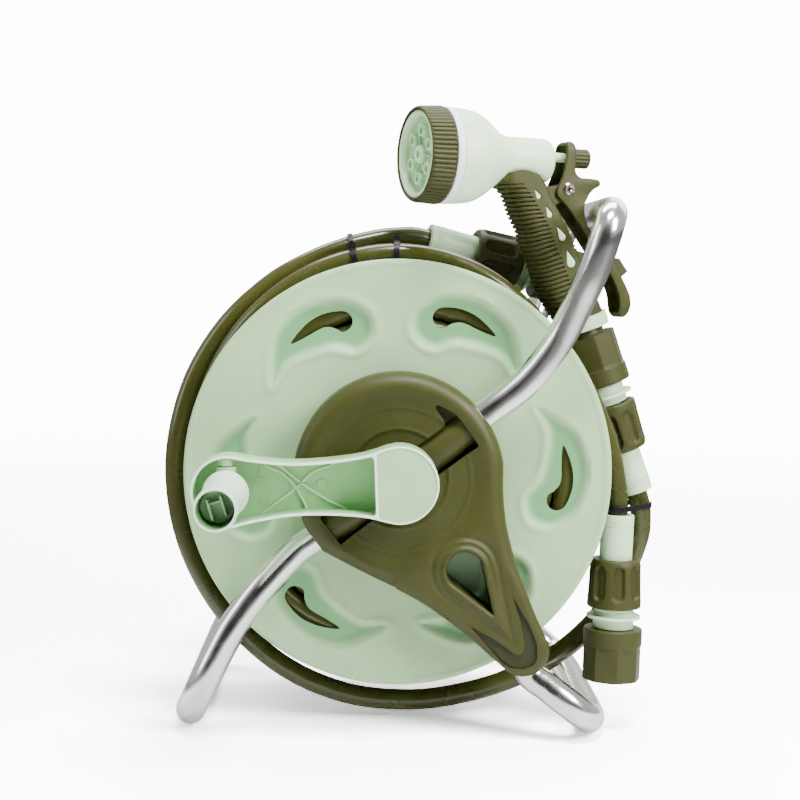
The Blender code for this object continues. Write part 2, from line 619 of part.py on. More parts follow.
def make_crank():
    """Crank arm with its folding, turning grip."""
    outline = crank_outline()
    arm = plate("crank_arm", [outline], -CRANK_FRONT, -CRANK_BACK, "mint", DRUM, rounding=0.0006)
    inside = offset_outline(outline, CRANK_WALL)
    pocket_right = -0.0150
    pocket = [(min(x, pocket_right), z) for x, z in inside]
    kept = [p for i, p in enumerate(pocket) if p[0] < pocket_right or pocket[i - 1][0] < pocket_right
            or pocket[(i + 1) % len(pocket)][0] < pocket_right]
    hollow = plate("crank_pocket", [kept], -CRANK_FRONT - 0.004, -CRANK_BACK - CRANK_FLOOR, None, DRUM,
                   guide=True)
    combine(arm, hollow, "DIFFERENCE")
    hinge = Vector((-CRANK_LENGTH, -HINGE_DEPTH, 0.0))
    half_width = 0.0206
    boss_inner = 0.0156
    for side in (1, -1):
        matrix = axis_matrix(hinge, (0.0, 0.0, side))
        boss = cylinder(f"crank_boss_{side}", 0.0046, boss_inner, half_width + 0.0008, None, DRUM, matrix,
                        steps=12, guide=True)
        combine(arm, boss, "UNION")
    pin_hole = cylinder("crank_pin_hole", HINGE_PIN_RADIUS + GAP, -0.0300, 0.0300, None, DRUM,
                        axis_matrix(hinge, (0.0, 0.0, 1.0)), steps=12, guide=True)
    combine(arm, pin_hole, "DIFFERENCE")
    cylinder("grip_hinge_pin", HINGE_PIN_RADIUS, -0.0222, 0.0222, "steel", DRUM,
             axis_matrix(hinge, (0.0, 0.0, 1.0)), steps=12)
    outward = axis_matrix(hinge, (0.0, -1.0, 0.0))
    head = GRIP_START + GRIP_LENGTH - 0.0180
    spindle = turned("grip_spindle", [
        (0.0, head + 0.0060), (0.0080, head + 0.0060), (0.0104, head + GAP), (SPINDLE_RADIUS, head + GAP),
        (SPINDLE_RADIUS, GRIP_START - 0.0010), (0.0112, GRIP_START - 0.0010), (0.0112, 0.0040),
        (0.0, 0.0040)], "mint", DRUM, outward, steps=20)
    root = cylinder("spindle_root", 0.0062, -boss_inner + 0.0006, boss_inner - 0.0006, None, DRUM,
                    axis_matrix(hinge, (0.0, 0.0, 1.0)), steps=16, guide=True)
    combine(spindle, root, "UNION")
    eye = cylinder("spindle_eye", HINGE_PIN_RADIUS + GAP, -0.0300, 0.0300, None, DRUM,
                   axis_matrix(hinge, (0.0, 0.0, 1.0)), steps=12, guide=True)
    combine(spindle, eye, "DIFFERENCE")
    end = GRIP_START + GRIP_LENGTH
    turned("grip_sleeve", [
        (GRIP_MOUTH, end), (GRIP_RADIUS - 0.0006, end), (GRIP_RADIUS, end - 0.0020),
        (GRIP_RADIUS - 0.0010, GRIP_START + 0.0300), (GRIP_RADIUS - 0.0003, GRIP_START),
        (GRIP_BORE, GRIP_START), (GRIP_BORE, head), (GRIP_MOUTH, head)],
        "pale", DRUM, outward, steps=24, closed=True)


def make_inlet():
    """Water inlet on the rear cover: a fixed elbow over the turning pipe, its seal and nipple."""
    pipe_end = COVER_FACE + 0.0050
    start = COVER_FACE + 0.0006
    along_y = axis_matrix((0.0, 0.0, 0.0), (0.0, 1.0, 0.0))
    elbow = cylinder("inlet_elbow", ELBOW_RADIUS + 0.0030, start, start + 0.0220, "olive", REEL, along_y)
    branch_axis = axis_matrix((0.0, start + 0.0110, 0.0), (0.0, 0.0, -1.0))
    branch = cylinder("elbow_branch", 0.0100, 0.0, INLET_DROP, None, REEL, branch_axis, 16, True)
    combine(elbow, branch, "UNION")
    socket = cylinder("elbow_socket", WATER_PIPE_RADIUS + 0.0030, start - 0.005, pipe_end + 0.0010,
                      None, REEL, along_y, 24, True)
    combine(elbow, socket, "DIFFERENCE")
    channel = cylinder("elbow_channel", WATER_PIPE_BORE, start - 0.005, start + 0.0140, None, REEL, along_y,
                       16, True)
    combine(elbow, channel, "DIFFERENCE")
    drop = cylinder("elbow_drop", WATER_PIPE_BORE, 0.0, INLET_DROP + 0.005, None, REEL, branch_axis, 16, True)
    combine(elbow, drop, "DIFFERENCE")
    seal_outer = WATER_PIPE_RADIUS + 0.0030 - GAP
    seal_inner = WATER_PIPE_RADIUS + GAP
    seal = [(seal_outer, pipe_end - GAP), (seal_outer, pipe_end - 0.0028), (seal_inner, pipe_end - 0.0028),
            (seal_inner, pipe_end - GAP)]
    turned("inlet_seal", seal, "black", REEL, along_y, steps=20, closed=True)
    top = -INLET_DROP - GAP
    nipple_axis = axis_matrix((0.0, start + 0.0110, 0.0), (0.0, 0.0, 1.0))
    turned("inlet_nipple", [
        (0.0125, top), (0.0125, top - 0.0050), (0.0085, top - 0.0070), (0.0085, top - 0.0140),
        (0.0098, top - 0.0150), (0.0098, top - 0.0180), (0.0080, top - 0.0220), (0.0055, top - 0.0220),
        (0.0055, top)], "mint", REEL, nipple_axis, steps=20, closed=True)


def connector_axis(start, end):
    """Unit direction from a connector's adapter end to its nut end, and the matrix along it."""
    start, end = Vector(start), Vector(end)
    return axis_matrix(start, end - start)


def make_connector(tag, adapter_face, nut_end):
    """Threaded adapter, nipple, coupler sleeve and hose nut, one after another along one line."""
    matrix = connector_axis(adapter_face, nut_end)
    total = (Vector(nut_end) - Vector(adapter_face)).length
    sleeve_low = ADAPTER_L + NIPPLE_L
    sleeve_high = sleeve_low + SLEEVE_L
    bore = NUT_R + 0.0004
    turned(f"tap_adapter_{tag}", [
        (0.0062, ADAPTER_L), (NIPPLE_R - 0.0010, ADAPTER_L), (ADAPTER_R - 0.0010, ADAPTER_L),
        (ADAPTER_R, ADAPTER_L - 0.0010), (ADAPTER_R, 0.0), (0.0132, 0.0), (0.0132, ADAPTER_L - 0.0100),
        (0.0062, ADAPTER_L - 0.0100)], "olive", REEL, matrix, steps=12, closed=True)
    low = ADAPTER_L + GAP
    ring = low + NIPPLE_L * 0.45
    turned(f"nipple_{tag}", [
        (0.0060, sleeve_low + 0.0100), (0.0085, sleeve_low + 0.0100), (0.0085, sleeve_low - GAP * 2),
        (NIPPLE_R, sleeve_low - GAP * 2), (NIPPLE_R, ring + 0.0023), (NIPPLE_RING_R, ring + 0.0023),
        (NIPPLE_RING_R, ring), (NIPPLE_R, ring), (NIPPLE_R, low), (0.0060, low)],
        "pale", REEL, matrix, steps=16, closed=True)
    turned(f"coupler_sleeve_{tag}", [
        (bore, sleeve_high), (SLEEVE_R - 0.0012, sleeve_high), (SLEEVE_R, sleeve_high - 0.0040),
        (SLEEVE_R, sleeve_low + 0.0010), (SLEEVE_R - 0.0008, sleeve_low), (bore, sleeve_low)],
        "olive", REEL, matrix, steps=16, closed=True)
    turned(f"hose_nut_{tag}", [
        (HOSE_DIAMETER / 2 + 0.0004, total), (NUT_R - 0.0004, total), (NUT_R, sleeve_high + 0.004),
        (NUT_R, sleeve_low + 0.0030), (0.0089, sleeve_low + 0.0030), (0.0089, sleeve_low + 0.0110),
        (0.0050, sleeve_low + 0.0110), (0.0050, sleeve_high - 0.0020),
        (HOSE_DIAMETER / 2 + 0.0004, sleeve_high - 0.0020)],
        "pale", REEL, matrix, steps=16, closed=True)


# Connector ends: the adapter's open face, then the end of the hose nut
TOP_CONNECTOR = (Vector((0.1221, -0.0050, 0.1262)), Vector((0.0159, -0.0300, 0.1506)))
GUN_CONNECTOR = (Vector((0.1222, -0.0380, 0.0905)), Vector((0.1596, -0.0350, -0.0120)))
SIDE_CONNECTOR = (Vector((0.1442, -0.0550, -0.1340)), Vector((0.1446, -0.0550, -0.0250)))
HOSE_SEAT = 0.0120

# Leader hose: angle in degrees, radius and depth, anticlockwise from the top connector
LEADER_ROUTE = [
    (93, 0.1514, -0.0355), (99, 0.1500, -0.0388), (105, 0.1487, -0.0415), (114, 0.1472, -0.0445),
    (126, 0.1463, -0.0475), (142, 0.1455, -0.0495), (160, 0.1450, -0.0500), (180, 0.1450, -0.0500),
    (200, 0.1455, -0.0500), (220, 0.1470, -0.0500), (240, 0.1500, -0.0490), (258, 0.1528, -0.0465),
    (275, 0.1550, -0.0425), (290, 0.1585, -0.0370), (302, 0.1630, -0.0320), (312, 0.1672, -0.0285),
    (322, 0.1700, -0.0265), (330, 0.1702, -0.0262), (337, 0.1694, -0.0275), (343, 0.1690, -0.0300),
    (348, 0.1675, -0.0322)]

# End of the long hose: from the side connector up over the top and down onto the winding
HOSE_END_ROUTE = [
    (-1, 0.1425, -0.0562), (9, 0.1382, -0.0582), (16, 0.1352, -0.0602), (24, 0.1328, -0.0614),
    (32, 0.1308, -0.0617), (42, 0.1306, -0.0618), (54, 0.1330, -0.0617), (66, 0.1368, -0.0615),
    (78, 0.1394, -0.0612), (90, 0.1406, -0.0610), (101, 0.1402, -0.0608), (113, 0.1392, -0.0606),
    (126, 0.1374, -0.0604), (140, 0.1352, -0.0602), (155, 0.1326, -0.0600), (170, 0.1302, -0.0600),
    (185, 0.1282, -0.0600), (200, 0.1266, -0.0600), (215, 0.1253, -0.0600), (228, 0.1245, -0.0600),
    (240, 0.1240, -0.0600)]


def seated_end(connector):
    """Where a hose's end sits inside its nut, and where it comes out of the nut straight."""
    direction = (connector[1] - connector[0]).normalized()
    inside = connector[1] - direction * HOSE_SEAT
    outside = connector[1] + direction * HOSE_DIAMETER * 0.3
    return inside, outside


def hose_path(first, middle, last=None):
    """Points of a hose's centre line from its seated first end, through polar middle points, to
    its seated last end; straight where it sits in a nut."""
    inside, outside = seated_end(first)
    knots = [outside] + [polar(radius, angle, depth) for angle, radius, depth in middle]
    first_heading = (outside - inside).normalized()
    last_heading = None
    tail = []
    if last is not None:
        last_inside, last_outside = seated_end(last)
        knots.append(last_outside)
        last_heading = (last_inside - last_outside).normalized()
        tail = [last_inside]
    curve = smooth_through(knots, 12, first_heading, last_heading)
    return [inside] + bend_points(curve, HOSE_TURN, HOSE_STEP) + tail


def make_hoses():
    """The two free stretches of hose, each seated in its connectors' nuts."""
    leader = hose_path(TOP_CONNECTOR, LEADER_ROUTE, GUN_CONNECTOR)
    end = hose_path(SIDE_CONNECTOR, HOSE_END_ROUTE)
    tube("leader_hose", leader, HOSE_DIAMETER / 2, 2, "hose", REEL)
    tube("hose_end", end, HOSE_DIAMETER / 2, 2, "hose", REEL)
    return leader, end


def strand_near(points, target):
    """Nearest place to a target on a hose's points, with the hose's direction there."""
    best = None
    for a, b in zip(points, points[1:]):
        span = b - a
        share = max(0.0, min(1.0, (target - a).dot(span) / span.length_squared))
        place = a + span * share
        distance = (place - target).length
        if best is None or distance < best[0]:
            best = (distance, place, span.normalized())
    return best[1], best[2]


def make_tie(name, target, first_hose, second_hose=None, slack=0.0005):
    """Flat cable tie round the hose nearest to a target, and round a second one beside it."""
    first, normal = strand_near(first_hose, Vector(target))
    second = first
    if second_hose is not None:
        for _ in range(6):
            second, other = strand_near(second_hose, second)
            heading = other if other.dot(normal) > 0 else -other
            middle = (normal + heading).normalized()
            second = second - heading * ((second - first).dot(middle) / heading.dot(middle))
        normal = middle
    radius = HOSE_DIAMETER / 2 + slack
    span = second - first
    span -= normal * span.dot(normal)
    across = span.normalized() if span.length > 0.001 else normal.cross(Vector((0.0, 1.0, 0.0))).normalized()
    up = across.cross(normal)
    half = span.length / 2
    frame = Matrix((across, normal, up)).transposed().to_4x4()
    frame.translation = (first + second) / 2

    def loop(r):
        return arc((half, 0.0), r, -90, 90, 8) + arc((-half, 0.0), r, 90, 270, 8)

    head = 0.0022
    outer = loop(radius + TIE_THICKNESS)
    top = radius + TIE_THICKNESS
    bump = [(half * 0.5 + head, top), (half * 0.5 + head, top + head), (half * 0.5 - head, top + head),
            (half * 0.5 - head, top)]
    outline = outer[:9] + (bump if half > 0.006 else []) + outer[9:]
    plate(name, [outline, loop(radius)[::-1]], -TIE_WIDTH / 2, TIE_WIDTH / 2, "black", REEL, frame)


def make_ties(leader, end):
    make_tie("cable_tie_top", polar(0.1402, 102, -0.0607), end, leader)
    make_tie("cable_tie_edge", polar(0.1406, 91.5, -0.0610), end)
    make_tie("cable_tie_side", (0.1444, -0.0552, -0.0206), end, leader, 0.0009)


def ray_plate(name, outline, half, finish, guide=False, rounding=0.0):
    """Plate in the gun's own plane, centred on it."""
    return plate(name, [outline], -half, half, finish, GUN, guide=guide, rounding=rounding)


# Outlines of the gun's pieces: places along it, and heights as shares of the rise from the grip's
# foot to the nozzle's axis
LEVER_OUTLINE = [
    (-0.0251, 1.112), (-0.0256, 1.053), (-0.0262, 0.988), (-0.0271, 0.922), (-0.0285, 0.869),
    (-0.0296, 0.826), (-0.0288, 0.794), (-0.0265, 0.776), (-0.0211, 0.729), (-0.0151, 0.665),
    (-0.0100, 0.607), (-0.0010, 0.496), (0.0070, 0.400), (0.0135, 0.322), (0.0185, 0.230),
    (0.0210, 0.158), (0.0195, 0.103), (0.0216, 0.077), (0.0250, 0.108), (0.0275, 0.166),
    (0.0262, 0.235), (0.0199, 0.338), (0.0161, 0.383), (0.0060, 0.496), (-0.0044, 0.607),
    (-0.0074, 0.654), (-0.0087, 0.703), (-0.0087, 0.754), (-0.0071, 0.787), (-0.0052, 0.820),
    (-0.0020, 0.847), (0.0020, 0.869), (0.0006, 0.902), (-0.0072, 0.908), (-0.0121, 0.910),
    (-0.0152, 0.927), (-0.0165, 0.960), (-0.0165, 1.057), (-0.0182, 1.089), (-0.0203, 1.118),
    (-0.0230, 1.129)]
LEVER_CHANNEL = [
    (-0.0330, 1.094), (-0.0380, 0.836), (-0.0200, 0.643), (0.0000, 0.358), (0.0120, 0.129),
    (0.0208, 0.110), (0.0236, 0.125), (0.0256, 0.167), (0.0244, 0.228), (0.0184, 0.327),
    (0.0146, 0.370), (0.0045, 0.483), (-0.0060, 0.596), (-0.0092, 0.645), (-0.0106, 0.699),
    (-0.0106, 0.758), (-0.0130, 0.836), (-0.0162, 0.919), (-0.0184, 0.965), (-0.0184, 1.052),
    (-0.0200, 1.083), (-0.0216, 1.097)]
GRIP_OUTLINE = [
    (-0.0707, 0.857), (-0.0630, 0.792), (-0.0577, 0.680), (-0.0515, 0.582), (-0.0487, 0.492),
    (-0.0430, 0.404), (-0.0381, 0.276), (-0.0310, 0.165), (-0.0240, 0.083), (-0.0160, 0.000),
    (0.0130, 0.000), (0.0065, 0.110), (-0.0020, 0.257), (-0.0129, 0.445), (-0.0204, 0.556),
    (-0.0292, 0.677), (-0.0366, 0.776), (-0.0420, 0.882), (-0.0450, 0.915), (-0.0540, 0.924),
    (-0.0640, 0.896)]
INLAYS = [((-0.0455, 0.784), 0.0016, (-0.0480, 0.822)), ((-0.0371, 0.680), 0.0019, (-0.0398, 0.730)),
          ((-0.0273, 0.554), 0.0024, (-0.0315, 0.613)), ((-0.0204, 0.404), 0.0030, (-0.0238, 0.479))]


def about_pivot(outline):
    """An outline of the gun's plane, measured from the lever's pivot instead."""
    return [(x - PIVOT.x, z - PIVOT.z) for x, z in at_height(outline)]


def make_gun():
    """Spray gun hooked over the handle: head, grip, lever, valve and swivel base."""
    nozzle = axis_matrix((0.0, 0.0, NOZZLE_HEIGHT), (-1.0, 0.0, 0.0))
    front = -RING_FRONT
    ring_back = front - RING_LENGTH
    band_back = ring_back - BAND_LENGTH
    neck = -NECK_END
    body = turned("gun_body", [
        (0.0, ring_back + 0.0040), (FACE_RADIUS - 0.0020, ring_back + 0.0040),
        (FACE_RADIUS - 0.0020, ring_back - GAP), (0.0262, ring_back - GAP), (0.0262, band_back - GAP),
        (BOWL_RADIUS, band_back - GAP), (BOWL_RADIUS - 0.0004, 0.0940), (0.0285, 0.0880), (0.0258, 0.0826),
        (0.0205, 0.0750), (0.0165, 0.0700), (NECK_RADIUS, 0.0640), (NECK_RADIUS, neck + 0.0020),
        (NECK_RADIUS - 0.0020, neck), (0.0, neck)], "mint", GUN, nozzle, steps=24)
    stem_axis = axis_matrix((0.0, 0.0, STEM_HEIGHT), (-1.0, 0.0, 0.0))
    stem_hole = cylinder("gun_stem_hole", STEM_RADIUS + GAP, 0.0200, neck + 0.0180, None, GUN, stem_axis,
                         12, True)
    combine(body, stem_hole, "DIFFERENCE")
    turned("label_band", [
        (0.0265, ring_back - GAP * 2), (BOWL_RADIUS + 0.0004, ring_back - GAP * 2),
        (BOWL_RADIUS + 0.0004, band_back), (0.0265, band_back)], "pale", GUN, nozzle, steps=24, closed=True)
    turned("selector_ring", [
        (FACE_RADIUS + GAP, front), (RING_RADIUS - 0.0012, front), (RING_RADIUS, front - 0.0015),
        (RING_RADIUS + 0.0012, ring_back + 0.0010), (RING_RADIUS + 0.0002, ring_back),
        (FACE_RADIUS + GAP, ring_back)], "olive", GUN, nozzle, steps=24, closed=True)
    turned("spray_face", [
        (0.0, front - 0.0030), (0.0040, front - 0.0030), (0.0050, front - 0.0045),
        (FACE_RADIUS - 0.0030, front - 0.0045), (FACE_RADIUS - 0.0020, front - 0.0015),
        (FACE_RADIUS, front - 0.0015), (FACE_RADIUS, ring_back + 0.0044), (0.0, ring_back + 0.0044)],
        "mint", GUN, nozzle, steps=24)

    grip = ray_plate("gun_grip", at_height(GRIP_OUTLINE), GRIP_THICKNESS / 2, "olive", rounding=0.0030)
    lug_outline = at_height([(-0.0440, 0.847), (-0.0400, 0.699), (-0.0285, 0.740)])
    lug_outline += arc((PIVOT.x, PIVOT.z), 0.0050, -75, 60, 5) + at_height([(-0.0310, 0.849)])
    lug = ray_plate("gun_lug", lug_outline, LUG_WIDTH / 2, None, guide=True)
    combine(grip, lug, "UNION")
    neck_cut = turned("gun_neck_cut", [
        (0.0, 0.1200), (BOWL_RADIUS + GAP, 0.1200), (BOWL_RADIUS + GAP, 0.0940), (0.0288, 0.0880),
        (0.0262, 0.0826), (0.0209, 0.0750), (0.0169, 0.0700), (NECK_RADIUS + GAP, 0.0640),
        (NECK_RADIUS + GAP, neck - 0.0004), (0.0, neck - 0.0004)], None, GUN, nozzle, steps=24, guide=True)
    combine(grip, neck_cut, "DIFFERENCE")
    pivot_hole = cylinder("gun_pivot_hole", LEVER_PIN_RADIUS + GAP, -0.02, 0.02, None, GUN,
                          axis_matrix(PIVOT, (0.0, 1.0, 0.0)), 12, True)
    combine(grip, pivot_hole, "DIFFERENCE")

    to_gun = GUN.matrix_local.inverted()
    base_point = to_gun @ GUN_CONNECTOR[0]
    base_direction = to_gun.to_3x3() @ (GUN_CONNECTOR[0] - GUN_CONNECTOR[1]).normalized()
    base_axis = axis_matrix(base_point, base_direction)
    swivel_low = 0.0042
    trim = cylinder("gun_base_cut", 0.0400, -0.03, swivel_low + SWIVEL_LENGTH + GAP, None, GUN, base_axis,
                    16, True)
    combine(grip, trim, "DIFFERENCE")
    high = swivel_low + SWIVEL_LENGTH
    turned("gun_base_collar", [
        (0.0105, high), (SWIVEL_RADIUS - 0.0012, high), (SWIVEL_RADIUS, high - 0.0015),
        (SWIVEL_RADIUS, swivel_low + 0.0010), (SWIVEL_RADIUS - 0.0010, swivel_low), (0.0105, swivel_low)],
        "pale", GUN, base_axis, steps=20, closed=True)
    turned("gun_inlet_thread", [
        (0.0102, high - GAP), (0.0102, swivel_low - GAP), (0.0120, swivel_low - GAP),
        (0.0120, GAP * 2), (0.0126, 0.0), (0.0126, -0.0090), (0.0060, -0.0090), (0.0060, high - GAP)],
        "olive", GUN, base_axis, steps=16, closed=True)
    surface = GRIP_THICKNESS / 2
    for i, (centre_place, radius, tip_place) in enumerate(INLAYS):
        centre, tip = at_height([centre_place, tip_place])
        share = 1 + GAP / radius
        wide_tip = Vector(centre) + (Vector(tip) - Vector(centre)) * share
        cut = ray_plate(f"inlay_cut_{i}", teardrop(centre, radius * share, wide_tip, 6), 0.0300, None, True)
        combine(grip, cut, "DIFFERENCE")
        ray_plate(f"grip_inlay_{i + 1}", teardrop(centre, radius, tip, 6), surface + 0.0002, "pale")

    half = LEVER_WIDTH / 2
    lever = plate("trigger_lever", [about_pivot(LEVER_OUTLINE)], -half, half, "olive", LEVER, rounding=0.0005)
    channel = plate("lever_channel", [about_pivot(LEVER_CHANNEL)], LEVER_WALL - half, half - LEVER_WALL,
                    None, LEVER, guide=True)
    combine(lever, channel, "DIFFERENCE")
    pin_hole = cylinder("lever_pin_hole", LEVER_PIN_RADIUS + GAP, -0.02, 0.02, None, LEVER,
                        axis_matrix((0.0, 0.0, 0.0), (0.0, 1.0, 0.0)), 12, True)
    combine(lever, pin_hole, "DIFFERENCE")
    stem_slot = cylinder("lever_stem_hole", STEM_RADIUS + 0.0008, 0.0, 0.0300, None, GUN, stem_axis, 12, True)
    combine(lever, stem_slot, "DIFFERENCE")
    head = LEVER_WIDTH / 2 + GAP
    turned("lever_pin", [
        (0.0, head + 0.0010), (0.0036, head + 0.0010), (0.0040, head), (LEVER_PIN_RADIUS, head),
        (LEVER_PIN_RADIUS, -head), (0.0040, -head), (0.0036, -head - 0.0010), (0.0, -head - 0.0010)],
        "steel", GUN, axis_matrix(PIVOT, (0.0, 1.0, 0.0)), steps=12)
    nut_end = 0.0042
    cylinder("valve_stem", STEM_RADIUS, nut_end + 0.0010, neck + 0.0150, "pale", GUN, stem_axis, 12)
    turned("flow_nut", [
        (STEM_RADIUS + GAP, nut_end + NUT_LENGTH), (NUT_RADIUS - 0.0006, nut_end + NUT_LENGTH),
        (NUT_RADIUS, nut_end + NUT_LENGTH - 0.0006), (NUT_RADIUS, nut_end),
        (STEM_RADIUS + GAP, nut_end)], "olive", GUN, stem_axis, steps=16, closed=True)
    clip_x, clip_z = at_height([(0.0203, 0.378)])[0]
    clip_matrix = Matrix.Translation((clip_x, 0.0, clip_z)) @ Matrix.Rotation(math.radians(-37.8), 4, "Y")
    box("lock_slide", (0.0050, 0.0090, 0.0110), clip_matrix, "olive", GUN)


make_drum()
make_winding()
make_cover("side_cover_front", 1)
make_cover("side_cover_rear", -1)
make_frame()
make_crank()
make_inlet()
make_connector("top", *TOP_CONNECTOR)
make_connector("gun", *GUN_CONNECTOR)
make_connector("side", *SIDE_CONNECTOR)
make_ties(*make_hoses())
make_gun()

for part in PARTS.objects:
    if part.type == "MESH":
        part.data.shade_smooth()
        part.data.set_sharp_from_angle(angle=math.radians(30))
bpy.context.view_layer.update()
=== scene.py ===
"""Portable hose reel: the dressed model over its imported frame.

Metres, +Z up. Positions are measured from the drum's centre, in three placements: the reel's own,
the drum's, which is turned a little about its axis, and the spray gun's upright plane.
"""
import math

import bmesh
import bpy
import numpy as np
from mathutils import Matrix, Vector
from mathutils.geometry import delaunay_2d_cdt


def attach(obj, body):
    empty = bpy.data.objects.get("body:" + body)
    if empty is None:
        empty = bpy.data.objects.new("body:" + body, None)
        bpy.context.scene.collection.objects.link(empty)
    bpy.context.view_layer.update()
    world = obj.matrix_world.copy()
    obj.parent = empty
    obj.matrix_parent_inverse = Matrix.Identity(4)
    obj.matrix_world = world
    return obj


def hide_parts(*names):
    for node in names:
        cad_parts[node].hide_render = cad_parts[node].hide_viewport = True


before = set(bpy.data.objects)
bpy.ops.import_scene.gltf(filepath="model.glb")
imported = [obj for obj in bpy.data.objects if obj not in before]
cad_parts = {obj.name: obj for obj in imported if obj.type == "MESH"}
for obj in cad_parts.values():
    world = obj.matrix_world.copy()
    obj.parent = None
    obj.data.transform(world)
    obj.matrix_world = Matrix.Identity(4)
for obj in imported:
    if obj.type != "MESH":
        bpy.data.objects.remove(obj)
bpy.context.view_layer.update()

# Placements
AXIS_HEIGHT = 0.1665
REEL = Matrix.Translation((-0.0052, 0.0404, AXIS_HEIGHT))
DRUM = REEL @ Matrix.Rotation(math.radians(-3.6), 4, "Y")
GUN = REEL @ Matrix.Translation((0.1216, -0.0400, 0.0)) @ Matrix.Rotation(math.radians(21.4), 4, "Z")
IDENTITY = Matrix.Identity(4)
REAR = Matrix.Diagonal((1.0, -1.0, 1.0, 1.0))

# Camera, fitted to the photograph
LENS = 76.5
CAMERA_PLACE = Vector((-0.02336, -1.15591, 0.12841))
CAMERA_RIGHT = Vector((0.99943, -0.01935, 0.02763))
CAMERA_DOWN = Vector((0.02610, -0.07507, -0.99684))
CAMERA_FORWARD = Vector((0.02137, 0.99699, -0.07452))

# Studio: the room's shades run from the camera's side to behind the reel
ROOM_SHADES = [(0.0, 0.02), (0.10, 0.05), (0.22, 0.50), (0.50, 0.60), (1.0, 1.0)]
ROOM_LIGHT = 0.78
BACKDROP_LIGHT = 14.0
FLOOR_LIFT, FLOOR_IN_GLOSS, FAR_FLOOR_IN_GLOSS = 4.4, 0.75, 0.06
LIGHTS = [((1.0, -0.9, 1.0), (0.5, 0.7), 34.0), ((-1.7, -0.5, 0.9), (0.7, 1.2), 10.0),
          ((0.2, -0.60, 1.7), (0.6, 0.4), 42.0), ((0.0, 0.7, 1.9), (1.6, 0.7), 40.0),
          ((0.9, 1.6, 1.2), (1.4, 1.0), 14.0)]
LIT_POINT = (0.0, 0.0, 0.2)
FLOOR_SIZE = (40.0, 40.0, 0.02)
WHITE = (1.0, 1.0, 1.0, 1.0)

# Sizes shared with the solids
GAP = 0.0003
HOSE_DIAMETER, HOSE_RADIUS = 0.0140, 0.00685
FLANGE_RADIUS, FLANGE_FACE, FLANGE_BACK = 0.1375, 0.0734, 0.0695
SHAFT_RADIUS = 0.0135
TUBE_DIAMETER, TUBE_RADIUS, TUBE_PLANE = 0.0200, 0.00955, 0.0895
SLEEVE_ANGLE = math.radians(37.8)
SLEEVE_HEADING = Vector((math.cos(SLEEVE_ANGLE), 0.0, math.sin(SLEEVE_ANGLE)))
COVER_FACE, COVER_BACK = 0.1040, 0.0760
CRANK_LENGTH, CRANK_FRONT, CRANK_BACK = 0.1050, 0.1340, 0.1095
HINGE_DEPTH = 0.1282
FORWARD = Vector((0.0, -1.0, 0.0))


def polar(radius, degrees, depth=None):
    angle = math.radians(degrees)
    x, z = radius * math.cos(angle), radius * math.sin(angle)
    return (x, z) if depth is None else Vector((x, depth, z))


def arc(centre, radius, start, end, steps):
    angles = [math.radians(start + (end - start) * k / steps) for k in range(steps + 1)]
    return [(centre[0] + radius * math.cos(a), centre[1] + radius * math.sin(a)) for a in angles]


def axis_matrix(point, direction):
    """Matrix that carries local Z onto a direction, from a point."""
    return Matrix.Translation(point) @ Vector(direction).to_track_quat("Z", "Y").to_matrix().to_4x4()


def between(a, b, c, d, t):
    """Point of a Catmull-Rom curve, a share t of the way from b to c."""
    return 0.5 * (2 * b + (c - a) * t + (2 * a - 5 * b + 4 * c - d) * t * t
                  + (3 * b - a - 3 * c + d) * t * t * t)


def smooth_through(points, pieces, first_heading=None, last_heading=None):
    """Smooth curve through points; a heading sets its direction at its start or its end."""
    knots = [Vector(p) for p in points]
    result = []
    for i in range(len(knots) - 1):
        b, c = knots[i], knots[i + 1]
        reach = (c - b).length * 2
        a = knots[i - 1] if i > 0 else b * 2 - c
        d = knots[i + 2] if i + 2 < len(knots) else c * 2 - b
        if i == 0 and first_heading is not None:
            a = c - first_heading * reach
        if i == len(knots) - 2 and last_heading is not None:
            d = b + last_heading * reach
        result += [between(a, b, c, d, k / pieces) for k in range(pieces)]
    result.append(knots[-1])
    return result


def smooth_loop(points, pieces):
    """Smooth closed curve through points of a plane."""
    count = len(points)
    result = []
    for i in range(count):
        a, b, c, d = (Vector(points[(i + k) % count]) for k in (-1, 0, 1, 2))
        result += [tuple(between(a, b, c, d, k / pieces)) for k in range(pieces)]
    return result


def smoothstep(value):
    value = np.clip(value, 0.0, 1.0)
    return value * value * (3 - 2 * value)


def fillet(points, radius, steps=3, closed=True):
    """A polyline with its corners rounded by up to a radius."""
    count = len(points)
    result = []
    for i in range(count):
        here = Vector(points[i])
        if not closed and i in (0, count - 1):
            result.append(tuple(here))
            continue
        before, after = Vector(points[i - 1]) - here, Vector(points[(i + 1) % count]) - here
        reach = min(radius, before.length * 0.45, after.length * 0.45)
        start, end = here + before.normalized() * reach, here + after.normalized() * reach
        for k in range(steps + 1):
            t = k / steps
            result.append(tuple(start * (1 - t) ** 2 + here * 2 * t * (1 - t) + end * t * t))
    return result


# Materials

def feed(tree, socket, value):
    """Set a node's input, or link it where the value is another node's output."""
    if isinstance(value, bpy.types.NodeSocket):
        tree.links.new(value, socket)
    else:
        socket.default_value = value


def put(tree, kind, inputs=None, **settings):
    """New shader node with its settings and its inputs."""
    node = tree.nodes.new("ShaderNode" + kind)
    for name, value in settings.items():
        setattr(node, name, value)
    for name, value in (inputs or {}).items():
        feed(tree, node.inputs[name], value)
    return node


def put_ramp(tree, source, stops):
    """Colour ramp from its stops, each a position and a colour."""
    node = put(tree, "ValToRGB", {"Fac": source})
    elements = node.color_ramp.elements
    while len(elements) < len(stops):
        elements.new(0.5)
    for element, (position, colour) in zip(elements, stops):
        element.position = position
        element.color = (*colour, 1.0)
    return node.outputs["Color"]


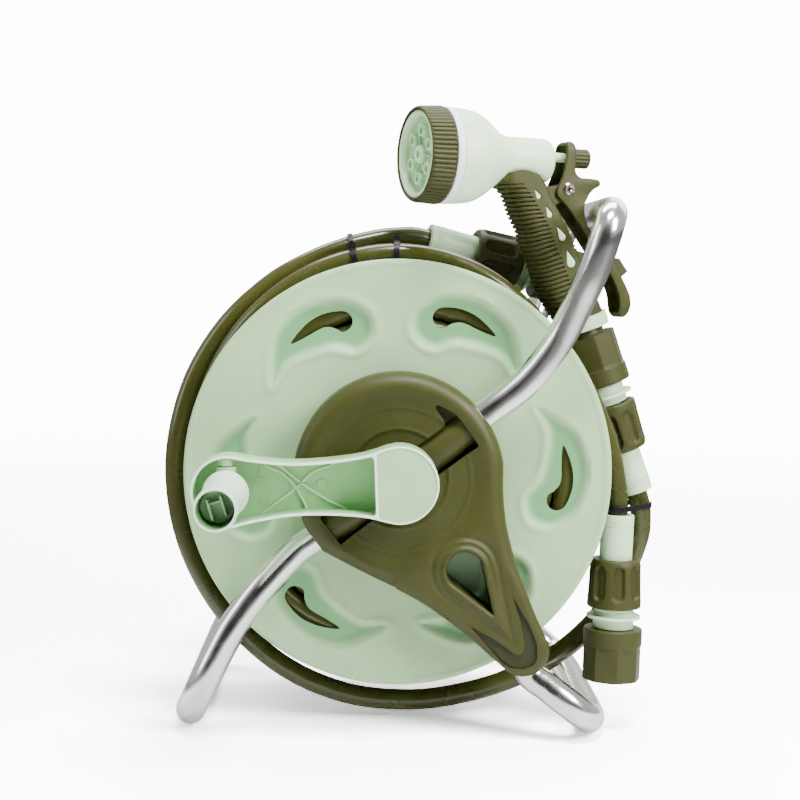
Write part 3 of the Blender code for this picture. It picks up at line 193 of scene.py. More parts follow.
def new_material(name, colour, roughness, metallic=0.0, coat=0.0, specular=0.5):
    material = bpy.data.materials.new(name)
    material.use_nodes = True
    shader = material.node_tree.nodes["Principled BSDF"]
    shader.inputs["Base Color"].default_value = (*colour, 1.0)
    shader.inputs["Roughness"].default_value = roughness
    shader.inputs["Metallic"].default_value = metallic
    shader.inputs["Specular IOR Level"].default_value = specular
    shader.inputs["Coat Weight"].default_value = coat
    shader.inputs["Coat Roughness"].default_value = 0.16
    return material, material.node_tree, shader


def add_noise(tree, scale, detail):
    """Noise in the object's own coordinates."""
    where = put(tree, "TexCoord").outputs["Object"]
    noise = put(tree, "TexNoise", {"Vector": where, "Scale": scale, "Detail": detail})
    return noise.outputs["Fac"]


def vary_colour(tree, shader, source, low, high):
    """Base colour that wanders between two tones."""
    feed(tree, shader.inputs["Base Color"], put_ramp(tree, source, [(0.32, low), (0.68, high)]))


def vary_roughness(tree, shader, source, low, high):
    """Gloss that wanders between two roughnesses."""
    span = put(tree, "MapRange", {"Value": source, "From Min": 0.3, "From Max": 0.7,
                                  "To Min": low, "To Max": high})
    feed(tree, shader.inputs["Roughness"], span.outputs["Result"])


def add_relief(tree, shader, source, height, edge_radius):
    """Fine grain over softly rounded edges."""
    bump = put(tree, "Bump", {"Strength": 1.0, "Distance": height, "Height": source})
    if edge_radius:
        edge = put(tree, "Bevel", {"Radius": edge_radius}, samples=6)
        feed(tree, bump.inputs["Normal"], edge.outputs["Normal"])
    feed(tree, shader.inputs["Normal"], bump.outputs["Normal"])


def paint_shade_and_highlight(material, axis, start, end, painted_tone):
    """Painted light: a darker tone for shade, a lighter one for a highlight, mixed in where an object
    coordinate, or the distance from local Z, runs from start back to end.
    """
    tree = material.node_tree
    base = tree.nodes["Principled BSDF"].inputs["Base Color"]
    where = put(tree, "TexCoord").outputs["Object"]
    if axis == "radius":
        flat = put(tree, "VectorMath", {0: where, 1: (1.0, 1.0, 0.0)}, operation="MULTIPLY")
        level = put(tree, "VectorMath", {0: flat.outputs["Vector"]}, operation="LENGTH")
    else:
        split = put(tree, "SeparateXYZ", {"Vector": where})
        level = put(tree, "Math", {0: split.outputs[axis]}, operation="ABSOLUTE")
    share = put(tree, "MapRange", {"Value": level.outputs["Value"], "From Min": start, "From Max": end},
                interpolation_type="SMOOTHSTEP")
    mix = put(tree, "MixRGB", {"Fac": share.outputs["Result"], "Color1": base.links[0].from_socket,
                               "Color2": (*painted_tone, 1.0)})
    feed(tree, base, mix.outputs["Color"])
    return material


def moulded_plastic(name, colour, roughness, grain, edge_radius=0.0005, spread=0.06, coat=0.0):
    """Moulded plastic: slight flow marks in its colour, uneven gloss and a fine grain."""
    material, tree, shader = new_material(name, colour, roughness, 0.0, coat, 0.35)
    low, high = [tuple(min(1.0, c * share) for c in colour) for share in (1 - spread, 1 + spread)]
    vary_colour(tree, shader, add_noise(tree, 22.0, 4.0), low, high)
    vary_roughness(tree, shader, add_noise(tree, 60.0, 3.0), roughness - 0.05, roughness + 0.06)
    add_relief(tree, shader, add_noise(tree, 2600.0, 2.0), grain, edge_radius)
    return material


def brushed_steel(name, colour, roughness):
    """Brushed stainless tube: fine scratches and soft bands of uneven gloss."""
    material, tree, shader = new_material(name, colour, roughness, 1.0)
    vary_colour(tree, shader, add_noise(tree, 40.0, 4.0), tuple(c * 0.93 for c in colour), colour)
    vary_roughness(tree, shader, add_noise(tree, 90.0, 5.0), roughness - 0.03, roughness + 0.05)
    add_relief(tree, shader, add_noise(tree, 1500.0, 3.0), 0.0000015, 0.0)
    return material


MINT = moulded_plastic("mint_plastic", (0.380, 0.590, 0.330), 0.38, 0.000006)
# Painted shade: the discs' recesses darken to a deep green towards their floors.
DISC_MINT_PAINTED_SHADE = paint_shade_and_highlight(moulded_plastic("disc_mint_painted_shade", (0.365, 0.570, 0.305), 0.42, 0.000006), "Y",
                        FLANGE_FACE - 0.0002, FLANGE_FACE - 0.0044, (0.150, 0.380, 0.160))
# Painted shade: the crank's pocket turns a deeper green towards its floor.
CRANK_MINT_PAINTED_LIGHT = paint_shade_and_highlight(moulded_plastic("crank_mint_painted_light", (0.370, 0.570, 0.310), 0.34, 0.000006), "Y",
                         CRANK_FRONT - 0.0020, CRANK_BACK + 0.0020, (0.300, 0.590, 0.260))
# Painted highlight: the arm's front-most faces are lightened.
paint_shade_and_highlight(CRANK_MINT_PAINTED_LIGHT, "Y", CRANK_FRONT - 0.0004, CRANK_FRONT - 0.0001, (0.820, 0.930, 0.800))
# Painted shade: the grip sleeve's bore darkens inside its mouth.
GRIP_MINT_PAINTED_SHADE = paint_shade_and_highlight(moulded_plastic("grip_mint_painted_shade", (0.700, 0.840, 0.670), 0.34, 0.000005), "radius",
                        0.0112, 0.0109, (0.130, 0.330, 0.120))
MINT_GLOSS = moulded_plastic("gun_mint", (0.690, 0.900, 0.590), 0.32, 0.000004)
# Painted shade: the spray face darkens towards its recessed floor.
FACE_MINT_PAINTED_SHADE = paint_shade_and_highlight(moulded_plastic("face_mint_painted_shade", (0.600, 0.820, 0.530), 0.30, 0.000004), "Z",
                        0.1240, 0.1200, (0.330, 0.600, 0.290))
PALE = moulded_plastic("pale_mint_plastic", (0.560, 0.790, 0.490), 0.34, 0.000005)
BAND_WHITE = moulded_plastic("band_white", (0.880, 0.920, 0.870), 0.34, 0.000005)
OLIVE = moulded_plastic("olive_plastic", (0.041, 0.043, 0.006), 0.46, 0.000008)
# Painted shade: a darker olive for the floor of the cover's chevron groove.
OLIVE_PAINTED_GROOVE_SHADE = moulded_plastic("olive_painted_groove_shade", (0.024, 0.026, 0.005), 0.50, 0.000008)
HOSE = moulded_plastic("hose_green", (0.048, 0.051, 0.009), 0.24, 0.000003, 0.0, 0.10, 0.5)
STEEL = brushed_steel("brushed_stainless", (0.95, 0.93, 0.91), 0.19)
PIN_STEEL = brushed_steel("pin_steel", (0.72, 0.62, 0.56), 0.18)
BLACK = moulded_plastic("black_nylon", (0.006, 0.006, 0.007), 0.36, 0.000006)
RUBBER = moulded_plastic("black_rubber", (0.012, 0.012, 0.012), 0.62, 0.000010)


# Geometry

def link(name, data, matrix=IDENTITY):
    """New object in the scene."""
    thing = bpy.data.objects.new(name, data)
    bpy.context.scene.collection.objects.link(thing)
    thing.matrix_world = matrix
    return thing


def add(name, data, material, matrix=REEL, body="stand", stands_for=None):
    """Piece with its finish, riding on its body in place of the solid of its own name or another one."""
    piece = link("dressed_" + name, data, matrix)
    data.materials.clear()
    data.materials.append(material)
    bpy.context.view_layer.update()
    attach(piece, body)
    node = name if stands_for is None else stands_for
    if node:
        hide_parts(node)
    return piece


def settle(mesh, sharp=30):
    """Outward faces, smooth apart from sharp edges."""
    work = bmesh.new()
    work.from_mesh(mesh)
    bmesh.ops.remove_doubles(work, verts=work.verts, dist=0.000002)
    bmesh.ops.recalc_face_normals(work, faces=work.faces)
    work.to_mesh(mesh)
    work.free()
    mesh.shade_smooth()
    mesh.set_sharp_from_angle(angle=math.radians(sharp))
    return mesh


def mesh_data(verts, faces, sharp=30):
    """Settled mesh from points and faces."""
    mesh = bpy.data.meshes.new("piece")
    mesh.from_pydata([tuple(v) for v in verts], [], [tuple(f) for f in faces])
    return settle(mesh, sharp)


def ring_faces(rings, steps, closed_rings):
    """Quads between consecutive rings of a grid of points."""
    faces = []
    for i in range(rings if closed_rings else rings - 1):
        j = (i + 1) % rings
        for k in range(steps):
            m = (k + 1) % steps
            faces.append((i * steps + k, j * steps + k, j * steps + m, i * steps + m))
    return faces


def revolved(profile, steps=96, shape=None, closed=True, sharp=30):
    """Mesh turned about local Z from (radius, height) pairs; shape changes radii by place."""
    rings = [(max(r, 0.00002), h) for r, h in profile]
    angles = np.arange(steps) * 2 * math.pi / steps
    verts = []
    for r, h in rings:
        radii = np.full(steps, r) if shape is None else shape(r, h, angles)
        verts += list(zip(radii * np.cos(angles), radii * np.sin(angles), np.full(steps, h)))
    faces = ring_faces(len(rings), steps, closed)
    if not closed:
        faces.append(tuple(range(steps)))
        faces.append(tuple((len(rings) - 1) * steps + k for k in range(steps)))
    return mesh_data(verts, faces, sharp)


def dense(profile, step):
    """A profile with points added along its long straights."""
    result = []
    for i, here in enumerate(profile):
        after = profile[(i + 1) % len(profile)]
        count = max(1, int(math.hypot(after[0] - here[0], after[1] - here[1]) / step))
        for k in range(count):
            t = k / count
            result.append((here[0] + (after[0] - here[0]) * t, here[1] + (after[1] - here[1]) * t))
    return result


def evaluated_mesh(piece):
    """A working object's mesh as its modifiers or its curve make it; the object is removed."""
    bpy.context.view_layer.update()
    mesh = bpy.data.meshes.new_from_object(piece.evaluated_get(bpy.context.evaluated_depsgraph_get()))
    bpy.data.objects.remove(piece, do_unlink=True)
    return mesh


def plate_data(outlines, low, high, rounding=0.0, resolution=2):
    """Flat outline in local X and Z, thick from low to high along local Y, with rounded edges."""
    curve = bpy.data.curves.new("plate", "CURVE")
    curve.dimensions = "2D"
    curve.fill_mode = "BOTH"
    curve.extrude = (high - low) / 2 - rounding
    curve.bevel_depth = rounding
    curve.bevel_resolution = resolution
    curve.offset = -rounding
    for outline in outlines:
        spline = curve.splines.new("POLY")
        spline.points.add(len(outline) - 1)
        for point, (x, z) in zip(spline.points, outline):
            point.co = (x, z, 0.0, 1.0)
        spline.use_cyclic_u = True
    mesh = evaluated_mesh(link("outline", curve))
    mesh.transform(Matrix.Translation((0.0, (low + high) / 2, 0.0)) @ Matrix.Rotation(math.pi / 2, 4, "X"))
    return settle(mesh)


def box_data(size):
    """Mesh of a box round the origin."""
    work = bmesh.new()
    bmesh.ops.create_cube(work, size=1.0, matrix=Matrix.Diagonal((*size, 1.0)))
    mesh = bpy.data.meshes.new("box")
    work.to_mesh(mesh)
    work.free()
    return mesh


def tube_data(paths, radius, resolution=6):
    """Round bar or hose along each path, as a curve with filled ends."""
    curve = bpy.data.curves.new("tube", "CURVE")
    curve.dimensions = "3D"
    curve.bevel_depth = radius
    curve.bevel_resolution = resolution
    curve.use_fill_caps = True
    for path in paths:
        spline = curve.splines.new("POLY")
        spline.points.add(len(path) - 1)
        for point, place in zip(spline.points, path):
            point.co = (*place, 1.0)
    return curve


def cut(mesh, matrix=IDENTITY):
    """A step for apply_booleans that takes a mesh away."""
    return mesh, matrix, "DIFFERENCE"


def merge(mesh, matrix=IDENTITY):
    """A step for apply_booleans that adds a mesh."""
    return mesh, matrix, "UNION"


def apply_booleans(mesh, others, sharp=30):
    """Cut meshes out of one, or merge them into it."""
    holder = link("shape", mesh)
    tools = []
    for data, matrix, operation in others:
        tools.append(link("tool", data, matrix))
        modifier = holder.modifiers.new("Shape", "BOOLEAN")
        modifier.operation = operation
        modifier.object = tools[-1]
        modifier.solver = "EXACT"
    result = evaluated_mesh(holder)
    for tool in tools:
        bpy.data.objects.remove(tool, do_unlink=True)
    return settle(result, sharp)


def joined(parts, sharp=40):
    """One mesh from meshes laid over each other; parts holds (mesh, matrix)."""
    work = bmesh.new()
    for data, matrix in parts:
        data.transform(matrix)
        work.from_mesh(data)
    mesh = bpy.data.meshes.new("joined")
    work.to_mesh(mesh)
    work.free()
    return settle(mesh, sharp)


def cylinder_data(radius, low, high, steps=64):
    """Mesh of a cylinder about local Z."""
    return revolved([(0.0, high), (radius, high), (radius, low), (0.0, low)], steps, closed=False)


# Camera, light and floor

def set_camera():
    camera = bpy.data.cameras.new("camera")
    camera.lens = LENS
    camera.sensor_width = 36.0
    camera.clip_end = 50.0
    turn = Matrix((CAMERA_RIGHT, -CAMERA_DOWN, -CAMERA_FORWARD)).transposed().to_4x4()
    place = Matrix.Translation(REEL.translation + CAMERA_PLACE)
    bpy.context.scene.camera = link("camera", camera, place @ turn)


def add_light(place, size, power):
    light = bpy.data.lights.new("soft_light", "AREA")
    light.shape = "RECTANGLE"
    light.size, light.size_y = size
    light.energy = power
    heading = (Vector(LIT_POINT) - Vector(place)).to_track_quat("-Z", "Y").to_matrix().to_4x4()
    link("soft_light", light, Matrix.Translation(place) @ heading)


def set_studio():
    """White backdrop, a room brighter behind the reel than before it, large soft lights and a floor."""
    world = bpy.data.worlds.new("white_room")
    world.use_nodes = True
    tree = world.node_tree
    room = tree.nodes["Background"]
    where = put(tree, "TexCoord")
    split = put(tree, "SeparateXYZ", {"Vector": where.outputs["Generated"]})
    level = put(tree, "MapRange", {"Value": split.outputs["Y"], "From Min": -1.0, "From Max": 1.0})
    shade = put_ramp(tree, level.outputs["Result"], [(place, (value,) * 3) for place, value in ROOM_SHADES])
    strength = put(tree, "Math", {0: shade, 1: ROOM_LIGHT}, operation="MULTIPLY")
    feed(tree, room.inputs["Color"], WHITE)
    feed(tree, room.inputs["Strength"], strength.outputs["Value"])
    backdrop = put(tree, "Background", {"Color": WHITE, "Strength": BACKDROP_LIGHT})
    seen = put(tree, "LightPath")
    mix = put(tree, "MixShader", {"Fac": seen.outputs["Is Camera Ray"], 1: room.outputs["Background"],
                                  2: backdrop.outputs["Background"]})
    feed(tree, tree.nodes["World Output"].inputs["Surface"], mix.outputs["Shader"])
    bpy.context.scene.world = world
    for place, size, power in LIGHTS:
        add_light(place, size, power)
    floor = link("floor", box_data(FLOOR_SIZE), Matrix.Translation((0.0, 0.0, -FLOOR_SIZE[2] / 2 - 0.0001)))
    floor.data.materials.append(floor_material())


def floor_material():
    """Pale floor, lifted to the backdrop's white for the camera and fading into it far away."""
    material, tree, shader = new_material("pale_floor", (0.93, 0.93, 0.93), 0.6)
    vary_colour(tree, shader, add_noise(tree, 3.0, 3.0), (0.920, 0.920, 0.920), (0.940, 0.940, 0.940))
    add_relief(tree, shader, add_noise(tree, 400.0, 2.0), 0.00002, 0.0)
    base = shader.inputs["Base Color"]
    seen = put(tree, "LightPath")
    where = put(tree, "TexCoord")
    reach = put(tree, "VectorMath", {0: where.outputs["Object"]}, operation="LENGTH").outputs["Value"]
    lift = put(tree, "MapRange", {"Value": seen.outputs["Is Camera Ray"], "To Min": 1.0,
                                  "To Max": FLOOR_LIFT})
    around = put(tree, "MapRange", {"Value": reach, "From Min": 0.26, "From Max": 0.46,
                                    "To Min": FLOOR_IN_GLOSS, "To Max": FAR_FLOOR_IN_GLOSS})
    dim = put(tree, "MapRange", {"Value": seen.outputs["Is Glossy Ray"], "To Min": 1.0,
                                 "To Max": around.outputs["Result"]})
    both = put(tree, "Math", {0: lift.outputs["Result"], 1: dim.outputs["Result"]}, operation="MULTIPLY")
    scaled = put(tree, "VectorMath", {0: base.links[0].from_socket, "Scale": both.outputs["Value"]},
                 operation="SCALE")
    feed(tree, base, scaled.outputs["Vector"])
    fade = put(tree, "MapRange", {"Value": reach, "From Min": 0.4, "From Max": 2.2},
               interpolation_type="SMOOTHSTEP")
    share = put(tree, "Math", {0: fade.outputs["Result"], 1: seen.outputs["Is Camera Ray"]},
                operation="MULTIPLY")
    glow = put(tree, "Emission", {"Strength": BACKDROP_LIGHT})
    mix = put(tree, "MixShader", {"Fac": share.outputs["Value"], 1: shader.outputs["BSDF"],
                                  2: glow.outputs["Emission"]})
    feed(tree, tree.nodes["Material Output"].inputs["Surface"], mix.outputs["Shader"])
    return material


# Hose connectors: nut, coupler sleeve, nipple and threaded adapter in a row
TOP_CONNECTOR = (Vector((0.1221, -0.0050, 0.1262)), Vector((0.0159, -0.0300, 0.1506)))
GUN_CONNECTOR = (Vector((0.1222, -0.0380, 0.0905)), Vector((0.1596, -0.0350, -0.0120)))
SIDE_CONNECTOR = (Vector((0.1442, -0.0550, -0.1340)), Vector((0.1446, -0.0550, -0.0250)))
CONNECTORS = {"top": (TOP_CONNECTOR, 20, 20), "gun": (GUN_CONNECTOR, -70, -70),
              "side": (SIDE_CONNECTOR, -90, -110)}
NUT_R = 0.0110
SLEEVE_R, SLEEVE_L = 0.0176, 0.0320
NIPPLE_R, NIPPLE_RING_R, NIPPLE_L = 0.0132, 0.0176, 0.0140
ADAPTER_R, ADAPTER_L, THREAD_R = 0.0192, 0.0340, 0.0132
THREAD_PITCH, THREAD_DEPTH = 0.0018, 0.0005
FLAT_COUNT, FLAT_HIGH, FLAT_RAMP = 8, 0.0235, 0.0016
SCOOP_COUNT, SCOOP_WIDTH, SCOOP_LENGTH, SCOOP_DEPTH, SCOOP_EDGE = 8, 0.0100, 0.0240, 0.0025, 0.0018
TIE_WIDTH, TIE_THICKNESS = 0.0036, 0.0012
TIE_HEAD, TIE_TAIL = (0.0038, 0.0050, 0.0048), (0.0010, 0.0026, 0.0110)
HOSE_SEAT = 0.0120


# Hoses: angle in degrees, radius and depth
LEADER_ROUTE = [
    (93, 0.1514, -0.0355), (99, 0.1500, -0.0388), (105, 0.1487, -0.0415), (114, 0.1472, -0.0445),
    (126, 0.1463, -0.0475), (142, 0.1455, -0.0495), (160, 0.1450, -0.0500), (180, 0.1450, -0.0500),
    (200, 0.1455, -0.0500), (220, 0.1470, -0.0500), (240, 0.1500, -0.0490), (258, 0.1528, -0.0465),
    (275, 0.1550, -0.0425), (290, 0.1585, -0.0370), (302, 0.1630, -0.0320), (312, 0.1672, -0.0285),
    (322, 0.1700, -0.0265), (330, 0.1702, -0.0262), (337, 0.1694, -0.0275), (343, 0.1690, -0.0300),
    (348, 0.1675, -0.0322)]
HOSE_END_ROUTE = [
    (-1, 0.1425, -0.0562), (9, 0.1382, -0.0582), (16, 0.1352, -0.0602), (24, 0.1328, -0.0614),
    (32, 0.1308, -0.0617), (42, 0.1306, -0.0618), (54, 0.1330, -0.0617), (66, 0.1368, -0.0615),
    (78, 0.1394, -0.0612), (90, 0.1406, -0.0610), (101, 0.1402, -0.0608), (113, 0.1392, -0.0606),
    (126, 0.1374, -0.0604), (140, 0.1352, -0.0602), (155, 0.1326, -0.0600), (170, 0.1302, -0.0600),
    (185, 0.1282, -0.0600), (200, 0.1266, -0.0600), (215, 0.1253, -0.0600), (228, 0.1245, -0.0600),
    (240, 0.1240, -0.0600)]


def seated_end(connector):
    """Where a hose ends inside a connector's nut, and a point where it leaves the nut."""
    direction = (connector[1] - connector[0]).normalized()
    return connector[1] - direction * HOSE_SEAT, connector[1] + direction * HOSE_DIAMETER * 0.3


def hose_path(first, middle, last=None):
    """A hose's centre line from its seated first end, through polar points, to its seated last end."""
    inside, outside = seated_end(first)
    knots = [outside] + [polar(radius, angle, depth) for angle, radius, depth in middle]
    first_heading = (outside - inside).normalized()
    last_heading = None
    tail = []
    if last is not None:
        last_inside, last_outside = seated_end(last)
        knots.append(last_outside)
        last_heading = (last_inside - last_outside).normalized()
        tail = [last_inside]
    return [inside] + smooth_through(knots, 6, first_heading, last_heading) + tail


def path_length(points):
    return sum((b - a).length for a, b in zip(points, points[1:]))


def scoops(turn, centre):
    """Long shallow hollows round a coupler sleeve."""
    pitch = 2 * math.pi / SCOOP_COUNT

    def shape(r, h, angles):
        if r < SLEEVE_R - 0.0035:
            return np.full(len(angles), r)
        across = np.abs((angles - turn + pitch / 2) % pitch - pitch / 2) * SLEEVE_R
        along = max(abs(h - centre) - (SCOOP_LENGTH - SCOOP_WIDTH) / 2, 0.0)
        inside = SCOOP_WIDTH / 2 - np.sqrt(across ** 2 + along ** 2)
        return r - SCOOP_DEPTH * smoothstep(inside / SCOOP_EDGE)
    return shape


def flats(turn):
    """Flat faces round a tap adapter, and a thread in its mouth."""
    pitch = 2 * math.pi / FLAT_COUNT

    def shape(r, h, angles):
        if abs(r - THREAD_R) < 0.00001 and h < FLAT_HIGH:
            return r - THREAD_DEPTH * (1 + np.sin(2 * math.pi * h / THREAD_PITCH + angles)) / 2
        if r < ADAPTER_R - 0.0035:
            return np.full(len(angles), r)
        across = (angles - turn + pitch / 2) % pitch - pitch / 2
        flat = np.minimum(r, ADAPTER_R * math.cos(pitch / 2) / np.cos(across))
        return r + (flat - r) * smoothstep((FLAT_HIGH - h) / FLAT_RAMP)
    return shape


def make_connector(tag, ends, turn, flat_turn):
    """Tap adapter, nipple, coupler sleeve and hose nut along one line."""
    start, end = ends
    matrix = REEL @ axis_matrix(start, end - start)
    total = (end - start).length
    low = ADAPTER_L + NIPPLE_L
    high = low + SLEEVE_L
    seat = ADAPTER_L - 0.0100
    adapter = fillet([(0.0062, ADAPTER_L), (ADAPTER_R, ADAPTER_L), (ADAPTER_R, 0.0), (0.0135, 0.0),
                      (THREAD_R, 0.0010), (THREAD_R, seat), (0.0062, seat)], 0.0012)
    faced = revolved(dense(adapter, 0.0005), 96, flats(math.radians(flat_turn)))
    pieces = [add(f"tap_adapter_{tag}", faced, OLIVE, matrix)]
    ring = ADAPTER_L + GAP + NIPPLE_L * 0.45
    nipple = fillet([
        (0.0060, low + 0.0100), (0.0085, low + 0.0100), (0.0085, low - GAP * 2), (NIPPLE_R, low - GAP * 2),
        (NIPPLE_R, low - 0.0016), (NIPPLE_R - 0.0005, low - 0.0018), (NIPPLE_R - 0.0005, low - 0.0026),
        (NIPPLE_R, low - 0.0028), (NIPPLE_R, ring + 0.0023), (NIPPLE_RING_R, ring + 0.0021),
        (NIPPLE_RING_R, ring + 0.0002), (NIPPLE_R, ring), (NIPPLE_R, ADAPTER_L + GAP),
        (0.0060, ADAPTER_L + GAP)], 0.0004, 2)
    pieces.append(add(f"nipple_{tag}", revolved(nipple, 80), PALE, matrix))
    bore, grooved, mouth = NUT_R + 0.0004, NUT_R - 0.0003, HOSE_DIAMETER / 2 + 0.0004
    sleeve = fillet([(bore, high), (SLEEVE_R - 0.0022, high), (SLEEVE_R - 0.0009, high - 0.0040),
                     (SLEEVE_R, low + 0.0030), (SLEEVE_R, low), (bore, low)], 0.0012, 4)
    hollowed = revolved(dense(sleeve, 0.0006), 144, scoops(math.radians(turn), (low + high) / 2 + 0.0010))
    pieces.append(add(f"coupler_sleeve_{tag}", hollowed, OLIVE, matrix, f"sleeve_{tag}"))
    nut = [(mouth, total), (NUT_R - 0.0005, total), (NUT_R, total - 0.0008)]
    for k in range(3):
        place = total - 0.0040 - 0.0017 * k
        nut += [(NUT_R, place), (grooved, place - 0.0002), (grooved, place - 0.0005),
                (NUT_R, place - 0.0007)]
    nut += [(grooved, high + 0.0060), (grooved, low + 0.0030), (0.0089, low + 0.0030),
            (0.0089, low + 0.0110), (0.0050, low + 0.0110), (0.0050, high - 0.0020), (mouth, high - 0.0020)]
    pieces.append(add(f"hose_nut_{tag}", revolved(nut, 80), PALE, matrix))
    return pieces


def stadium(first, second, radius, steps=14):
    """Outline pulled tight round two circles."""
    reach = Vector(second) - Vector(first)
    heading = math.degrees(math.atan2(reach.y, reach.x)) if reach.length > 0 else 0.0
    near = arc(first, radius, heading + 90, heading + 270, steps)
    return near + arc(second, radius, heading - 90, heading + 90, steps)


def make_tie(tag, target, hose, other, slack, head_angle):
    """Flat tie round a hose, and round a second one beside it, with its head and tail."""
    place = min(range(1, len(hose) - 1), key=lambda i: (hose[i] - Vector(target)).length)
    tangent = (hose[place + 1] - hose[place - 1]).normalized()
    matrix = Matrix.Translation(hose[place]) @ tangent.to_track_quat("Y", "Z").to_matrix().to_4x4()
    beside = matrix.inverted() @ min(other, key=lambda p: (p - hose[place]).length)
    radius = HOSE_RADIUS + slack
    outlines = [stadium((0.0, 0.0), (beside.x, beside.z), r) for r in (radius + TIE_THICKNESS, radius)]
    turn = Matrix.Rotation(math.radians(-head_angle), 4, "Y")
    data = joined([
        (plate_data(outlines, -TIE_WIDTH / 2, TIE_WIDTH / 2), IDENTITY),
        (box_data(TIE_HEAD), turn @ Matrix.Translation((radius + 0.0026, 0.0, 0.0))),
        (box_data(TIE_TAIL), turn @ Matrix.Translation((radius + 0.0052, 0.0, 0.0030)))])
    data.transform(matrix)
    return add(f"cable_tie_{tag}", data, BLACK)


def make_cords():
    """The leader and the long hose's free end, with their connectors and ties."""
    sets = {tag: make_connector(tag, *values) for tag, values in CONNECTORS.items()}
    leader = list(reversed(hose_path(TOP_CONNECTOR, LEADER_ROUTE, GUN_CONNECTOR)))
    end = list(reversed(hose_path(SIDE_CONNECTOR, HOSE_END_ROUTE)))
    leader_bar = add("leader_hose", tube_data([leader], HOSE_RADIUS), HOSE)
    end_bar = add("hose_end", tube_data([end], HOSE_RADIUS), HOSE)
    ties = {
        "top": make_tie("top", polar(0.1402, 102, -0.0607), end, leader, 0.0004, 75),
        "edge": make_tie("edge", polar(0.1406, 91.5, -0.0610), end, end, 0.0004, 95),
        "side": make_tie("side", (0.1444, -0.0552, -0.0206), end, leader, 0.0012, 200)}
    print(f"leader {path_length(leader):.3f} m, hose end {path_length(end):.3f} m")


# Drum: one recess and its hole, repeated in mirrored pairs
RECESS_POINTS = [
    (0.0119, 0.0993), (0.0125, 0.0873), (0.0241, 0.0784), (0.0399, 0.0813), (0.0593, 0.0761),
    (0.0693, 0.0704), (0.0792, 0.0574), (0.0796, 0.0786), (0.0742, 0.0943), (0.0573, 0.1092),
    (0.0336, 0.1137), (0.0190, 0.1080)]
HOLE_POINTS = [
    (0.0256, 0.0991), (0.0272, 0.0945), (0.0322, 0.0919), (0.0370, 0.0945), (0.0445, 0.0952),
    (0.0566, 0.0891), (0.0658, 0.0857), (0.0559, 0.0972), (0.0450, 0.1036), (0.0331, 0.1054),
    (0.0278, 0.1036)]
RECESS_DEPTH, RECESS_SHOULDER = 0.0037, 0.0068
LIP_START, LIP_WIDTH, LIP_RISE, LIP_DROP = 0.1315, 0.0030, 0.0006, 0.0025
PAIR_ANGLES = (0, 120, 240)
LAYER_RADII = (0.0948, 0.0806)
WINDING_RADIUS, WINDING_PITCH, WINDING_TURNS, STEP_ANGLE = 0.1090, 0.0152, 9, 288


def turn_outline(outline, degrees, mirrored):
    """An outline turned about the drum's axis, or its mirror image turned so."""
    angle = math.radians(degrees)
    side = -1.0 if mirrored else 1.0
    points = [(side * x * math.cos(angle) - z * math.sin(angle),
               side * x * math.sin(angle) + z * math.cos(angle)) for x, z in outline]
    return points[::-1] if mirrored else points


def depth_inside(points, outline):
    """How far each point lies inside a closed outline, negative outside it."""
    corners = np.array(outline)
    after = np.roll(corners, -1, axis=0)
    span = after - corners
    offset = points[:, None, :] - corners[None]
    share = np.clip((offset * span).sum(2) / (span ** 2).sum(1), 0.0, 1.0)
    distance = np.sqrt(((offset - share[..., None] * span) ** 2).sum(2)).min(1)
    crosses = (corners[:, 1] > points[:, 1:2]) != (after[:, 1] > points[:, 1:2])
    rise = np.where(span[:, 1] == 0, 1e-9, span[:, 1])
    reach = corners[:, 0] + (points[:, 1:2] - corners[:, 1]) / rise * span[:, 0]
    inside = (crosses & (points[:, 0:1] < reach)).sum(1) % 2 == 1
    return np.where(inside, distance, -distance)


def flange_data(side):
    """Side disc with a rounded rim, soft comma recesses and a hole in each."""
    steps = 360
    bore, lip_top = SHAFT_RADIUS + GAP, LIP_START + LIP_WIDTH
    radii = [bore, 0.0300, 0.0450, 0.0560, 0.0620] + list(np.arange(0.0640, 0.1215, 0.0011))
    radii += [0.1240, 0.1275, 0.1300, LIP_START]
    rings = [(r, FLANGE_FACE, True) for r in radii]
    rings += [(LIP_START + LIP_WIDTH * t, FLANGE_FACE + LIP_RISE * smoothstep(t), False)
              for t in (0.35, 0.7, 1.0)]
    for a in (0.3, 0.6, 0.9, 1.2, math.pi / 2):
        height = FLANGE_FACE + LIP_RISE - LIP_DROP * (1 - math.cos(a))
        rings.append((lip_top + LIP_WIDTH * math.sin(a), height, False))
    rings += [(FLANGE_RADIUS, FLANGE_BACK + 0.0008, False), (0.1368, FLANGE_BACK, False),
              (bore, FLANGE_BACK, False)]
    angles = np.arange(steps) * 2 * math.pi / steps
    outlines = [smooth_loop(turn_outline(RECESS_POINTS, angle, mirrored), 4)
                for angle in PAIR_ANGLES for mirrored in (False, True)]
    verts = []
    for r, h, front in rings:
        places = np.stack([r * np.cos(angles), r * np.sin(angles)], axis=1)
        depth = np.full(steps, h)
        if front and 0.060 < r < 0.128:
            inside = np.max([depth_inside(places, o) for o in outlines], axis=0)
            depth = h - RECESS_DEPTH * smoothstep(inside / RECESS_SHOULDER + 0.10) * (inside > -0.001)
            depth += 0.0009 * np.exp(-((inside + 0.0014) / 0.0024) ** 2)
        verts += [(x, -side * d, z) for (x, z), d in zip(places, depth)]
    mesh = mesh_data(verts, ring_faces(len(rings), steps, True), 40)
    holes = []
    for angle in PAIR_ANGLES:
        for mirrored in (False, True):
            outline = smooth_loop(turn_outline(HOLE_POINTS, angle, mirrored), 3)
            holes.append(cut(plate_data([outline], -0.0900, 0.0900)))
    return apply_booleans(mesh, holes, 40)


